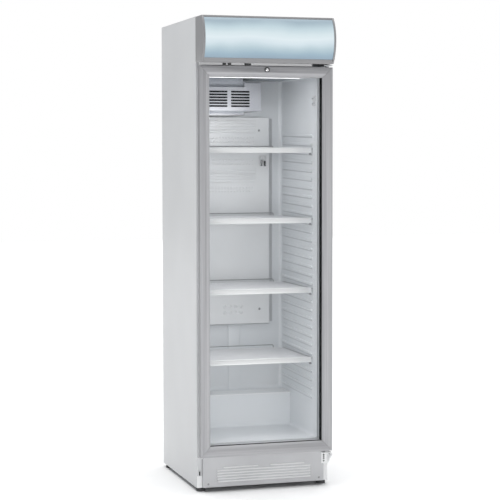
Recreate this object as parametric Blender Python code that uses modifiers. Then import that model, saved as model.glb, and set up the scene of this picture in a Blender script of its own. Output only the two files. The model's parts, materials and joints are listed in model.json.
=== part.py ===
"""Upright glass door merchandiser with a lit canopy, as an assembly of separate pieces.

Metres, +Z up. The object stands on Z = 0, centred on the origin, and its door faces -Y.
"""

import math

import bmesh
import bpy
from mathutils import Matrix, Vector

# Fits
GAP = 0.0003  # between pieces that touch
RUNNING_GAP = 0.0004  # around pieces that slide or turn

# Cabinet
CABINET_WIDTH = 0.595
CABINET_DEPTH = 0.595
PANEL_CLEARANCE = 0.016  # floor to the lower edge of the panels
SKIN = 0.0015
SIDE_RETURN = 0.025  # front edge of a side panel, folded inwards
TRAY = 0.002
BACK_SLOT_ROWS = 8
BACK_SLOT_PITCH = 0.016
BACK_SLOT_SIZE = (0.180, 0.006)
BACK_SLOT_CENTRE = (0.130, 0.150)  # sideways from the middle, and height of the lowest row

# Door
DOOR_BOTTOM = 0.158
DOOR_HEIGHT = 1.6665
FRAME_DEPTH = 0.030
LINING_DEPTH = 0.025
GASKET_DEPTH = 0.012
RAIL_WIDTH = 0.045
BORDER_WIDTH = 0.028  # flat outer part of a rail, before the sloping bead
BEAD_DROP = 0.011
BEAD_LIP = 0.002
PANE_INSET = 0.035
PANE = 0.004
SPACER_DEPTH = 0.016
LINING_INSET = 0.012  # leaves the finger groove round the door
GASKET_INSET = 0.022
GASKET_WIDTH = 0.016
GASKET_CLEARANCE = 0.0005

# Hinges and lock
HINGE_INSET = 0.020  # axis from the door's side and front faces
PIN_RADIUS = 0.004
PIN_DEPTH = 0.008
COLLAR_RADIUS = 0.008
BRACKET = 0.004
BRACKET_WIDTH = 0.038
BRACKET_EDGE = 0.001  # brackets stop short of the cabinet's side
LOWER_LEAF_DROP = 0.008  # door's lower edge to the leaf
UPPER_LEAF_RISE = 0.006
ROOT_HEIGHT = 0.062
ROOT_WIDTH = 0.020
CORNER_BRACKET_HEIGHT = 0.072
CORNER_LEAF_REACH = 0.025
CORNER_HOLE_DROP = 0.058
LOCK_RADIUS = 0.011
LOCK_CORE_RADIUS = 0.007
LOCK_PROUD = 0.003
KEY_SLOT = (0.0016, 0.007)
CAM_SIZE = (0.022, 0.002, 0.008)
KEEPER_HALF = 0.012
KEEPER_CLEARANCE = 0.001  # turned-up cam to the keeper it catches

# Liner
WALL = 0.0455
REAR_WALL = 0.090
LINER = 0.002
FLOOR_RISE = 0.003  # liner floor above the lower rail's inner edge
CEILING_RISE = 0.0105  # liner ceiling above the upper rail's inner edge
FLOOR_FOAM = 0.056
CEILING_FOAM = 0.048
HUMP_DEPTH = 0.130
HUMP_HEIGHT = 0.151
HUMP_FOAM = 0.045
RIB_OUT = 0.006
RIB_HEIGHT = 0.010
RIB_PITCH = 0.0385
RIB_FRONT = 0.068
RIB_REAR = 0.020
RIBS_ABOVE_SHELVES = 2

# Shelves
SHELF_COUNT = 4
TOP_SHELF_DROP = 0.309  # ceiling to the upper edge of the highest ticket rail
RIBS_PER_SHELF = 8
SHELF_FRONT = 0.058
SHELF_SIDE_CLEARANCE = 0.002
DECK = 0.004
DECK_DROP = 0.004  # deck below the upper edge of the ticket rail
DECK_WIRE = 0.005
DECK_ROWS = 13
DECK_COLUMNS = 2
TICKET_HEIGHT = 0.024
TICKET_DEPTH = 0.006
TICKET_INSET = 0.007
BACKSTOP_HEIGHT = 0.015
DUCT_CLEARANCE = 0.006

# Air duct, evaporator and ceiling lamp
DUCT_SIDE_CLEARANCE = 0.060
DUCT_DEPTH = 0.027
DUCT_ABOVE_HUMP = 0.300
DUCT_BELOW_EVAPORATOR = 0.021
EVAPORATOR_DEPTH = 0.255
EVAPORATOR_WIDTH = 0.323
EVAPORATOR_DROP = 0.147  # ceiling to the cover's underside
EVAPORATOR_HEIGHT = 0.1005
EVAPORATOR_TALL_HEIGHT = 0.129
EVAPORATOR_TALL_WIDTH = 0.077
EVAPORATOR_SIDE_CLEARANCE = 0.004
COVER_WALL = 0.002
SLOT_ROWS = 6
SLOT_PITCH = 0.0131
SLOT_HEIGHT = 0.0055
SLOT_TOP_DROP = 0.0145
SLOT_COLUMNS = ((0.078, 0.165), (0.181, 0.268))  # from the cover's left side
COIL_DEPTH = 0.100
COIL_REAR = 0.045
COIL_HEIGHT = 0.088
COIL_GROOVES = 12
DRIP_TRAY_WIDTH = 0.248
DRIP_TRAY_SETBACK = 0.012
DRIP_TRAY_HEIGHT = 0.007
DRIP_TRAY_DROP = 0.0085
LAMP_LEFT_CLEARANCE = 0.009
LAMP_RIGHT_CLEARANCE = 0.069
LAMP_FRONT = 0.008
LAMP_DEPTH = 0.030
LAMP_HEIGHT = 0.0115

# Fans
FAN_BLADES = 5
EVAPORATOR_FAN_OFFSET = 0.124  # cover's left side to the fan's axis
EVAPORATOR_FAN_RADIUS = 0.040
CONDENSER_FAN_RADIUS = 0.048
FAN_HUB_RADIUS = 0.012
FAN_HUB_LENGTH = 0.016
FAN_PITCH = math.radians(32)
BLADE = 0.002
SHAFT_RADIUS = 0.003
MOTOR_RADIUS = 0.018
MOTOR_LENGTH = 0.035
SHAFT_LENGTH = 0.012
EVAPORATOR_FAN_BEHIND = 0.016  # cover's front to the hub
MOTOR_FOOT = 0.014

# Canopy and control strip
DOOR_HEADROOM = 0.0135
CANOPY_HEIGHT = 0.196
CANOPY_REACH = 0.121
CANOPY_EDGE = 0.087  # reach at the canopy's upper and lower edges
CAP = 0.012
CANOPY_LOWER_TRIM = 0.018
CANOPY_UPPER_TRIM = 0.009
TRIM_LIP = 0.003
DIFFUSER = 0.0025
DIFFUSER_INSET = 0.003
TUBE_RADIUS = 0.013
TUBE_HOLDER_RADIUS = 0.017
TUBE_HOLDER_LENGTH = 0.025
TUBE_REACH = 0.055
ARC_STEPS = 16
STRIP_HEIGHT = 0.0105
STRIP_DEPTH = 0.012
STRIP_REACH = 0.062
STRIP_HINGE_CLEARANCE = 0.0925
STRIP_END_CLEARANCE = 0.001
CONTROLLER_OFFSET = 0.2135  # from the cabinet's left side, as the switches
CONTROLLER_SIZE = (0.029, 0.020, 0.008)
BUTTON_OFFSET = 0.0195
BUTTON_SIZE = (0.006, 0.008, 0.006)
ROCKERS = (("power_switch", 0.1095), ("light_switch", 0.1325))
ROCKER_SIZE = (0.0152, 0.008, 0.007)
ROCKER_TILT = math.radians(6)
ROCKER_POCKET_HEIGHT = 0.0085
CONTROL_PROUD = 0.0015

# Kick grille
KICK_REACH = 0.020
KICK_OVERLAP = 0.002  # past the inner edge of the side returns
KICK_BOTTOM = 0.019
KICK_HEIGHT = 0.126
KICK_WALL = 0.002
LOUVRE_PITCH = 0.012
LOUVRE_HEIGHT = 0.004
LOUVRE_BOTTOM = 0.041
LOUVRE_ROWS = 5
LOUVRE_END = 0.0625  # grille's end to the louvres
SHORT_LOUVRE_END = 0.028  # further in, on the top row
SHORT_LOUVRE_MIDDLE = 0.050

# Feet
FOOT_INSET = 0.0225
FOOT_FRONT = 0.024
FOOT_REAR = 0.040
FOOT_RADIUS = 0.021
FOOT_STEM_RADIUS = 0.005
FOOT_STEM_TOP = 0.045

# Machine compartment
COMPRESSOR_SIDE = 0.1775  # centre from the cabinet's right side
COMPRESSOR_REAR = 0.087  # centre ahead of the cabinet's back
COMPRESSOR_RADIUS = 0.072
COMPRESSOR_TOP = 0.205
COMPRESSOR_PLATE = (0.170, 0.120, 0.006)
PAN_SIZE = (0.180, 0.135, 0.022)
PAN_WALL = 0.002
CONDENSER_SIDE_CLEARANCE = 0.0875
CONDENSER_FRONT = 0.030
CONDENSER_DEPTH = 0.060
CONDENSER_HEIGHT = 0.118
CONDENSER_GROOVES = 16
SHROUD_GAP = 0.010
SHROUD_INSET = 0.010
SHROUD_HEIGHT = 0.124
SHROUD = 0.002
FAN_TIP_CLEARANCE = 0.004
FAN_BEHIND_SHROUD = 0.006
PIPE_RADIUS = 0.004
PIPE_SIDE = 0.030  # condenser's end to the pipe
PIPE_HEIGHT = 0.090
PIPE_BEND = 0.025
GLAND_SIDE = 0.0975  # from the cabinet's left side
GLAND_HEIGHT = 0.060
GLAND_RADIUS = 0.008
GLAND_FLANGE_RADIUS = 0.012
GLAND_BORE_RADIUS = 0.0045
GLAND_LENGTH = 0.018

# Places that follow from the sizes above
HALF = CABINET_WIDTH / 2
FRONT = (CANOPY_REACH - CABINET_DEPTH) / 2
BACK = FRONT + CABINET_DEPTH
DOOR_TOP = DOOR_BOTTOM + DOOR_HEIGHT
DOOR_FRONT = FRONT - FRAME_DEPTH - LINING_DEPTH - GASKET_DEPTH
CANOPY_BOTTOM = DOOR_TOP + DOOR_HEADROOM
CABINET_TOP = CANOPY_BOTTOM + CANOPY_HEIGHT
TRAY_TOP = PANEL_CLEARANCE + TRAY
HINGE = Vector((HALF - HINGE_INSET, DOOR_FRONT + HINGE_INSET, DOOR_BOTTOM))
LOCK = Vector((0, DOOR_FRONT, DOOR_TOP - BORDER_WIDTH / 2))
INNER = HALF - WALL
REAR = BACK - REAR_WALL
FLOOR = DOOR_BOTTOM + RAIL_WIDTH + FLOOR_RISE
CEILING = DOOR_TOP - RAIL_WIDTH + CEILING_RISE
HUMP_FRONT = REAR - HUMP_DEPTH
HUMP_TOP = FLOOR + HUMP_HEIGHT
FRONT_FIELD = HALF - SIDE_RETURN - GAP  # between the side returns
GLASS_FRONT = DOOR_FRONT + BEAD_DROP + BEAD_LIP + GAP
SPACER_FRONT = GLASS_FRONT + PANE + GAP
INNER_PANE_FRONT = SPACER_FRONT + SPACER_DEPTH + GAP
LINING_FRONT = DOOR_FRONT + FRAME_DEPTH + GAP
LINING_BACK = FRONT - GASKET_DEPTH
TOP_SHELF = CEILING - TOP_SHELF_DROP
DECK_TOP = TOP_SHELF - DECK_DROP
SHELF_PITCH = RIBS_PER_SHELF * RIB_PITCH
DUCT_FRONT = REAR - DUCT_DEPTH
DUCT_HALF = INNER - DUCT_SIDE_CLEARANCE
COVER_FRONT = REAR - EVAPORATOR_DEPTH
COVER_LEFT = -INNER + EVAPORATOR_SIDE_CLEARANCE
COVER_RIGHT = COVER_LEFT + EVAPORATOR_WIDTH
COVER_BOTTOM = CEILING - EVAPORATOR_DROP
COVER_FLOOR = COVER_BOTTOM + COVER_WALL
CONTROLLER_X = -HALF + CONTROLLER_OFFSET
KICK_HALF = HALF - SIDE_RETURN + KICK_OVERLAP
LOUVRE_HALF = KICK_HALF - LOUVRE_END
COMPRESSOR_X = HALF - COMPRESSOR_SIDE
CONDENSER_HALF = HALF - CONDENSER_SIDE_CLEARANCE
GLAND_X = -HALF + GLAND_SIDE
STRIP_FRONT = FRONT - STRIP_REACH
STRIP_MIDDLE = CANOPY_BOTTOM - GAP - STRIP_HEIGHT / 2
LOWER_LEAF = DOOR_BOTTOM - LOWER_LEAF_DROP
UPPER_LEAF = DOOR_TOP + UPPER_LEAF_RISE

# Finishes: colour, roughness, metallic value, opacity
WHITE_STEEL = ((0.80, 0.80, 0.80), 0.35, 0.0, 1.0)
WHITE_PLASTIC = ((0.86, 0.87, 0.88), 0.45, 0.0, 1.0)
SILVER = ((0.46, 0.46, 0.48), 0.38, 0.6, 1.0)
GREY_PLASTIC = ((0.27, 0.27, 0.28), 0.5, 0.0, 1.0)
PALE_PLASTIC = ((0.55, 0.56, 0.58), 0.5, 0.0, 1.0)
BLACK = ((0.02, 0.02, 0.02), 0.55, 0.0, 1.0)
GLASS = ((0.85, 0.92, 0.93), 0.02, 0.0, 0.15)
DIFFUSER_BLUE = ((0.72, 0.84, 0.92), 0.35, 0.0, 1.0)
LIGHT_STEEL = ((0.66, 0.67, 0.69), 0.35, 0.9, 1.0)
CHROME = ((0.85, 0.85, 0.86), 0.12, 1.0, 1.0)
FOAM = ((0.85, 0.78, 0.55), 0.9, 0.0, 1.0)
COPPER = ((0.72, 0.38, 0.22), 0.3, 1.0, 1.0)

TURN = {
    "X": Matrix(((0, 0, 1, 0), (1, 0, 0, 0), (0, 1, 0, 0), (0, 0, 0, 1))),
    "Y": Matrix(((1, 0, 0, 0), (0, 0, -1, 0), (0, 1, 0, 0), (0, 0, 0, 1))),
    "Z": Matrix.Identity(4),
}
UNIT = {"X": Vector((1, 0, 0)), "Y": Vector((0, 1, 0)), "Z": Vector((0, 0, 1))}
SMOOTH_ANGLE = math.radians(35)
WELD = 1e-6


def clear_scene():
    for obj in list(bpy.data.objects):
        bpy.data.objects.remove(obj)


def collection(name):
    made = bpy.data.collections.new(name)
    bpy.context.scene.collection.children.link(made)
    return made


clear_scene()
PARTS = collection("glass_door_merchandiser")
HELPERS = collection("cutters_and_joins")


# Meshes


def mesh_from(work, name):
    """Ends a bmesh as a named mesh with its faces pointing out."""
    bmesh.ops.remove_doubles(work, verts=work.verts, dist=WELD)
    bmesh.ops.recalc_face_normals(work, faces=work.faces)
    mesh = bpy.data.meshes.new(name)
    work.to_mesh(mesh)
    work.free()
    return mesh


def blocks(name, *boxes):
    """One mesh of square-cornered boxes, each given by its low and its high corner."""
    work = bmesh.new()
    for low, high in boxes:
        low, high = Vector(low), Vector(high)
        place = Matrix.Translation((low + high) / 2) @ Matrix.Diagonal((*(high - low), 1))
        bmesh.ops.create_cube(work, size=1, matrix=place)
    return mesh_from(work, name)


def rod(name, axis, start, end, centre, radius, sides=16):
    """A round bar along an axis, through the point centre."""
    work = bmesh.new()
    along = UNIT[axis]
    middle = centre - along * centre.dot(along) + along * (start + end) / 2
    place = Matrix.Translation(middle) @ TURN[axis]
    bmesh.ops.create_cone(
        work, cap_ends=True, segments=sides, radius1=radius, radius2=radius, depth=end - start, matrix=place
    )
    return mesh_from(work, name)


def prism(name, axis, start, end, outline, holes=()):
    """A flat outline, with any holes, drawn out along an axis. Points are (Y, Z), (X, Z) or (X, Y)."""
    curve = bpy.data.curves.new(name, "CURVE")
    curve.dimensions = "2D"
    curve.fill_mode = "BOTH"
    curve.extrude = (end - start) / 2
    for loop in (outline, *holes):
        spline = curve.splines.new("POLY")
        spline.points.add(len(loop) - 1)
        for point, (across, up) in zip(spline.points, loop):
            point.co = (across, up, 0, 1)
        spline.use_cyclic_u = True
    guide = bpy.data.objects.new(name, curve)
    HELPERS.objects.link(guide)
    filled = bpy.data.meshes.new_from_object(guide.evaluated_get(bpy.context.evaluated_depsgraph_get()))
    bpy.data.objects.remove(guide)
    bpy.data.curves.remove(curve)
    filled.transform(Matrix.Translation(UNIT[axis] * (start + end) / 2) @ TURN[axis])
    work = bmesh.new()
    work.from_mesh(filled)
    bpy.data.meshes.remove(filled)
    return mesh_from(work, name)


def rectangle(low, high):
    return [(low[0], low[1]), (high[0], low[1]), (high[0], high[1]), (low[0], high[1])]


def circle(centre, radius, sides=16):
    angles = [2 * math.pi * step / sides for step in range(sides)]
    return [(centre[0] + radius * math.cos(a), centre[1] + radius * math.sin(a)) for a in angles]


def framed(inset):
    """The door's outline seen from the front, drawn in by an inset."""
    return rectangle((-HALF + inset, DOOR_BOTTOM + inset), (HALF - inset, DOOR_TOP - inset))


# Objects


def paint(obj, finish):
    colour, roughness, metallic, opacity = finish
    material = bpy.data.materials.new(obj.name)
    material.use_nodes = True
    shader = material.node_tree.nodes["Principled BSDF"]
    shader.inputs["Base Color"].default_value = (*colour, 1)
    shader.inputs["Roughness"].default_value = roughness
    shader.inputs["Metallic"].default_value = metallic
    shader.inputs["Alpha"].default_value = opacity
    obj.data.materials.append(material)


def axis_empty(name, place):
    empty = bpy.data.objects.new(name, None)
    empty.location = place
    PARTS.objects.link(empty)
    return empty


CABINET = axis_empty("cabinet_frame", (0, 0, 0))
DOOR = axis_empty("door_axis", HINGE)


def part(name, mesh, finish, parent=CABINET, origin=None):
    """A piece of the object. Its origin goes to the given point, or to the middle of its box."""
    obj = bpy.data.objects.new(name, mesh)
    PARTS.objects.link(obj)
    if origin is None:
        corners = [Vector(corner) for corner in obj.bound_box]
        origin = (corners[0] + corners[6]) / 2
    mesh.transform(Matrix.Translation(-Vector(origin)))
    mesh.shade_smooth()
    mesh.set_sharp_from_angle(angle=SMOOTH_ANGLE)
    obj.location = Vector(origin) - parent.location
    obj.parent = parent
    paint(obj, finish)
    return obj


def shape_with(obj, operation, mesh):
    """Cuts or joins a helper mesh, given in world coordinates, with a Boolean modifier."""
    helper = bpy.data.objects.new(mesh.name, mesh)
    HELPERS.objects.link(helper)
    helper.hide_render = True
    helper.display_type = "WIRE"
    boolean = obj.modifiers.new(mesh.name, "BOOLEAN")
    boolean.operation = operation
    boolean.solver = "EXACT"
    boolean.object = helper
    return obj


def cut(obj, mesh):
    return shape_with(obj, "DIFFERENCE", mesh)


def join(obj, mesh):
    return shape_with(obj, "UNION", mesh)


def turned(name, profile, finish, place, parent=CABINET, closed=False, steps=24):
    """A profile of (radius, height) points, down its outer side, spun about the piece's own Z axis."""
    mesh = bpy.data.meshes.new(name)
    edges = [(i, i + 1) for i in range(len(profile) - 1)]
    if closed:
        edges.append((len(profile) - 1, 0))
    mesh.from_pydata([(radius, 0, height) for radius, height in profile], edges, [])
    obj = bpy.data.objects.new(name, mesh)
    PARTS.objects.link(obj)
    obj.matrix_local = Matrix.Translation(-parent.location) @ place
    obj.parent = parent
    screw = obj.modifiers.new("Spin", "SCREW")
    screw.steps = steps
    screw.render_steps = steps
    screw.use_merge_vertices = True
    screw.merge_threshold = 1e-5
    screw.use_smooth_shade = True
    paint(obj, finish)
    return obj


# Cabinet


def side_panel(name, side):
    outline = [
        (side * HALF, FRONT),
        (side * HALF, BACK),
        (side * (HALF - SKIN), BACK),
        (side * (HALF - SKIN), FRONT + SKIN),
        (side * (HALF - SIDE_RETURN), FRONT + SKIN),
        (side * (HALF - SIDE_RETURN), FRONT),
    ]
    part(name, prism(name, "Z", PANEL_CLEARANCE, CABINET_TOP - SKIN - GAP, outline), WHITE_STEEL)


def outer_panels():
    side_panel("left_side_panel", -1)
    side_panel("right_side_panel", 1)
    part(
        "top_panel",
        blocks("top_panel", ((-HALF, FRONT, CABINET_TOP - SKIN), (HALF, BACK, CABINET_TOP))),
        WHITE_STEEL,
    )
    across = HALF - SKIN - GAP
    slots = []
    for row in range(BACK_SLOT_ROWS):
        height = BACK_SLOT_CENTRE[1] + row * BACK_SLOT_PITCH
        for side in (-1, 1):
            middle = side * BACK_SLOT_CENTRE[0]
            low = (middle - BACK_SLOT_SIZE[0] / 2, height)
            slots.append(rectangle(low, (low[0] + BACK_SLOT_SIZE[0], height + BACK_SLOT_SIZE[1])))
    slots.append(circle((GLAND_X, GLAND_HEIGHT), GLAND_RADIUS + GAP))
    outline = rectangle((-across, TRAY_TOP + GAP), (across, CABINET_TOP - SKIN - GAP))
    part("back_panel", prism("back_panel", "Y", BACK - SKIN, BACK, outline, slots), WHITE_STEEL)


def foot_places():
    for depth_name, depth in (("front", FRONT + FOOT_FRONT), ("rear", BACK - FOOT_REAR)):
        for side_name, side in (("left", -1), ("right", 1)):
            yield f"foot_{depth_name}_{side_name}", Vector((side * (HALF - FOOT_INSET), depth, 0))


def base_and_feet():
    across = HALF - SKIN - GAP
    holes = [circle(place.xy, FOOT_STEM_RADIUS + RUNNING_GAP) for _, place in foot_places()]
    outline = rectangle((-across, FRONT + SKIN + GAP), (across, BACK))
    part("base_tray", prism("base_tray", "Z", PANEL_CLEARANCE, TRAY_TOP, outline, holes), LIGHT_STEEL)
    seat = PANEL_CLEARANCE - GAP
    profile = [
        (0, FOOT_STEM_TOP),
        (FOOT_STEM_RADIUS, FOOT_STEM_TOP),
        (FOOT_STEM_RADIUS, seat),
        (FOOT_RADIUS * 0.7, seat),
        (FOOT_RADIUS, seat / 2),
        (FOOT_RADIUS, 0),
        (0, 0),
    ]
    for name, place in foot_places():
        turned(name, profile, GREY_PLASTIC, Matrix.Translation(place), steps=20)


def insulation():
    """Foam between the panels and the liner, with the machine compartment left out at the lower rear."""
    across = HALF - SKIN - GAP
    low, high = FLOOR - FLOOR_FOAM, CEILING + CEILING_FOAM
    near, far = FRONT + LINER + GAP, BACK - SKIN - GAP
    step_y, step_z = HUMP_FRONT + HUMP_FOAM, HUMP_TOP - HUMP_FOAM
    outline = [(near, low), (step_y, low), (step_y, step_z), (far, step_z), (far, high), (near, high)]
    foam = part("insulation_foam", prism("insulation_foam", "X", -across, across, outline), FOAM)
    cavity = liner_outline(FRONT - LINER, LINER + GAP)
    width = INNER + LINER + GAP
    cut(foam, prism("foam_cavity", "X", -width, width, cavity))


def liner_outline(near, grow):
    """The cavity seen from the side, with the compressor hump, grown by a wall."""
    return [
        (near, FLOOR - grow),
        (HUMP_FRONT + grow, FLOOR - grow),
        (HUMP_FRONT + grow, HUMP_TOP - grow),
        (REAR + grow, HUMP_TOP - grow),
        (REAR + grow, CEILING + grow),
        (near, CEILING + grow),
    ]


def rib_heights():
    """Upper edges of the moulded ribs, from the top down to the compressor hump."""
    top = DECK_TOP - DECK - GAP + RIBS_ABOVE_SHELVES * RIB_PITCH
    count = int((top - RIB_HEIGHT - HUMP_TOP) / RIB_PITCH) + 1
    return [top - index * RIB_PITCH for index in range(count)]


def liner_side(name, side):
    outline = [
        (FRONT, FLOOR + GAP),
        (HUMP_FRONT - GAP, FLOOR + GAP),
        (HUMP_FRONT - GAP, HUMP_TOP + GAP),
        (REAR + LINER, HUMP_TOP + GAP),
        (REAR + LINER, CEILING - GAP),
        (FRONT, CEILING - GAP),
    ]
    low, high = sorted((side * INNER, side * (INNER + LINER)))
    wall = part(name, prism(name, "X", low, high, outline), WHITE_PLASTIC)
    low, high = sorted((side * INNER, side * FRONT_FIELD))
    flange = blocks(f"{name}_flange", ((low, FRONT, FLOOR + GAP), (high, FRONT + LINER, CEILING - GAP)))
    join(wall, flange)
    low, high = sorted((side * (INNER - RIB_OUT), side * (INNER + LINER / 2)))
    ribs = [
        ((low, FRONT + RIB_FRONT, top - RIB_HEIGHT), (high, REAR - RIB_REAR, top)) for top in rib_heights()
    ]
    join(wall, blocks(f"{name}_ribs", *ribs))


def liner():
    liner_side("liner_left_wall", -1)
    liner_side("liner_right_wall", 1)
    across = INNER - GAP
    part(
        "liner_rear_wall",
        blocks(
            "liner_rear_wall",
            ((-across, REAR, HUMP_TOP + GAP), (across, REAR + LINER, CEILING - GAP)),
        ),
        WHITE_PLASTIC,
    )
    width = INNER + LINER
    ceiling = part(
        "liner_ceiling",
        blocks("liner_ceiling", ((-width, FRONT, CEILING), (width, REAR + LINER, CEILING + LINER))),
        WHITE_PLASTIC,
    )
    fascia = ((-FRONT_FIELD, FRONT, CEILING), (FRONT_FIELD, FRONT + LINER, CANOPY_BOTTOM + DOOR_HEADROOM))
    join(ceiling, blocks("ceiling_fascia", fascia))
    floor = part(
        "liner_floor",
        blocks("liner_floor", ((-width, FRONT, FLOOR - LINER), (width, HUMP_FRONT + LINER, FLOOR))),
        WHITE_PLASTIC,
    )
    apron = ((-FRONT_FIELD, FRONT, FLOOR - FLOOR_FOAM), (FRONT_FIELD, FRONT + LINER, FLOOR))
    join(floor, blocks("floor_apron", apron))
    outline = [
        (HUMP_FRONT, FLOOR + GAP),
        (HUMP_FRONT, HUMP_TOP),
        (REAR + LINER, HUMP_TOP),
        (REAR + LINER, HUMP_TOP - LINER),
        (HUMP_FRONT + LINER, HUMP_TOP - LINER),
        (HUMP_FRONT + LINER, FLOOR + GAP),
    ]
    part("liner_hump", prism("liner_hump", "X", -width, width, outline), WHITE_PLASTIC)


def kick_grille():
    half = KICK_HALF
    near, far = FRONT - KICK_REACH, FRONT - GAP
    outline = [
        (-half, far),
        (-half, near),
        (half, near),
        (half, far),
        (half - KICK_WALL, far),
        (half - KICK_WALL, near + KICK_WALL),
        (-half + KICK_WALL, near + KICK_WALL),
        (-half + KICK_WALL, far),
    ]
    mesh = prism("kick_grille", "Z", KICK_BOTTOM, KICK_BOTTOM + KICK_HEIGHT, outline)
    kick = part("kick_grille", mesh, SILVER)
    spans = [(-LOUVRE_HALF, LOUVRE_HALF, row) for row in range(LOUVRE_ROWS)]
    short_end = LOUVRE_HALF - SHORT_LOUVRE_END
    spans.append((-short_end, -SHORT_LOUVRE_MIDDLE, LOUVRE_ROWS))
    spans.append((SHORT_LOUVRE_MIDDLE, short_end, LOUVRE_ROWS))
    slots = []
    for left, right, row in spans:
        low = LOUVRE_BOTTOM + row * LOUVRE_PITCH
        slots.append(((left, near - KICK_WALL, low), (right, near + 2 * KICK_WALL, low + LOUVRE_HEIGHT)))
    cut(kick, blocks("kick_louvres", *slots))


# Hinges


def hinge_leaf(height):
    right = HALF - BRACKET_EDGE
    near = HINGE.y - HINGE_INSET + BRACKET_EDGE
    return ((right - BRACKET_WIDTH, near, height), (right, FRONT - GAP, height + BRACKET))


def lower_hinge():
    top = LOWER_LEAF
    right = HALF - BRACKET_EDGE
    leaf = hinge_leaf(top - BRACKET)
    bracket = part("lower_hinge_bracket", blocks("lower_hinge_bracket", leaf), WHITE_STEEL)
    root = ((right - ROOT_WIDTH, FRONT - GAP - BRACKET, top - ROOT_HEIGHT), (right, FRONT - GAP, top))
    join(bracket, blocks("lower_hinge_root", root))
    gusset = [
        (FRONT - GAP, top - ROOT_HEIGHT),
        (FRONT - GAP - 2 * BRACKET, top - ROOT_HEIGHT),
        (leaf[0][1], top - 2 * BRACKET),
        (leaf[0][1], top),
        (FRONT - GAP, top),
    ]
    join(bracket, prism("lower_hinge_gusset", "X", right - BRACKET, right, gusset))
    join(bracket, rod("lower_hinge_collar", "Z", top - BRACKET / 2, DOOR_BOTTOM - GAP, HINGE, COLLAR_RADIUS))
    join(bracket, rod("lower_hinge_pin", "Z", top - BRACKET / 2, DOOR_BOTTOM + PIN_DEPTH, HINGE, PIN_RADIUS))


def upper_hinge():
    low = UPPER_LEAF
    bracket = part("upper_hinge_bracket", blocks("upper_hinge_bracket", hinge_leaf(low)), LIGHT_STEEL)
    leaf = hinge_leaf(low)
    root = ((leaf[0][0], FRONT - GAP - BRACKET, low), (leaf[1][0], FRONT - GAP, CANOPY_BOTTOM - GAP))
    join(bracket, blocks("upper_hinge_root", root))
    middle = low + BRACKET / 2
    join(bracket, rod("upper_hinge_collar", "Z", DOOR_TOP + GAP, middle, HINGE, COLLAR_RADIUS))
    join(bracket, rod("upper_hinge_pin", "Z", DOOR_TOP - PIN_DEPTH, middle, HINGE, PIN_RADIUS))


def corner_bracket():
    """The blanking bracket of the unused left-hand hinge."""
    left = -HALF + BRACKET_EDGE
    top = LOWER_LEAF
    right = left + ROOT_WIDTH
    plate = ((left, FRONT - GAP - BRACKET, top - CORNER_BRACKET_HEIGHT), (right, FRONT - GAP, top))
    bracket = part("corner_bracket", blocks("corner_bracket", plate), WHITE_STEEL)
    leaf = ((left, FRONT - CORNER_LEAF_REACH, top - BRACKET), (right, FRONT - GAP, top))
    join(bracket, blocks("corner_bracket_leaf", leaf))
    middle = Vector(((left + right) / 2, 0, top - CORNER_HOLE_DROP))
    cut(bracket, rod("corner_bracket_hole", "Y", FRONT - 2 * BRACKET, FRONT, middle, PIN_RADIUS))


# Canopy and controls


def canopy_arc(inset, lower, upper):
    """Points (Y, Z) up the canopy's curved front, inset from the end caps and ending short of both edges."""
    rise = CANOPY_HEIGHT / 2
    bulge = CANOPY_REACH - CANOPY_EDGE
    radius = (rise**2 + bulge**2) / (2 * bulge)
    centre = (FRONT - CANOPY_REACH + radius, CANOPY_BOTTOM + rise)
    radius -= inset
    first = -math.asin((rise - lower) / radius)
    last = math.asin((rise - upper) / radius)
    angles = [first + (last - first) * step / ARC_STEPS for step in range(ARC_STEPS + 1)]
    return [(centre[0] - radius * math.cos(a), centre[1] + radius * math.sin(a)) for a in angles]


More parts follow.
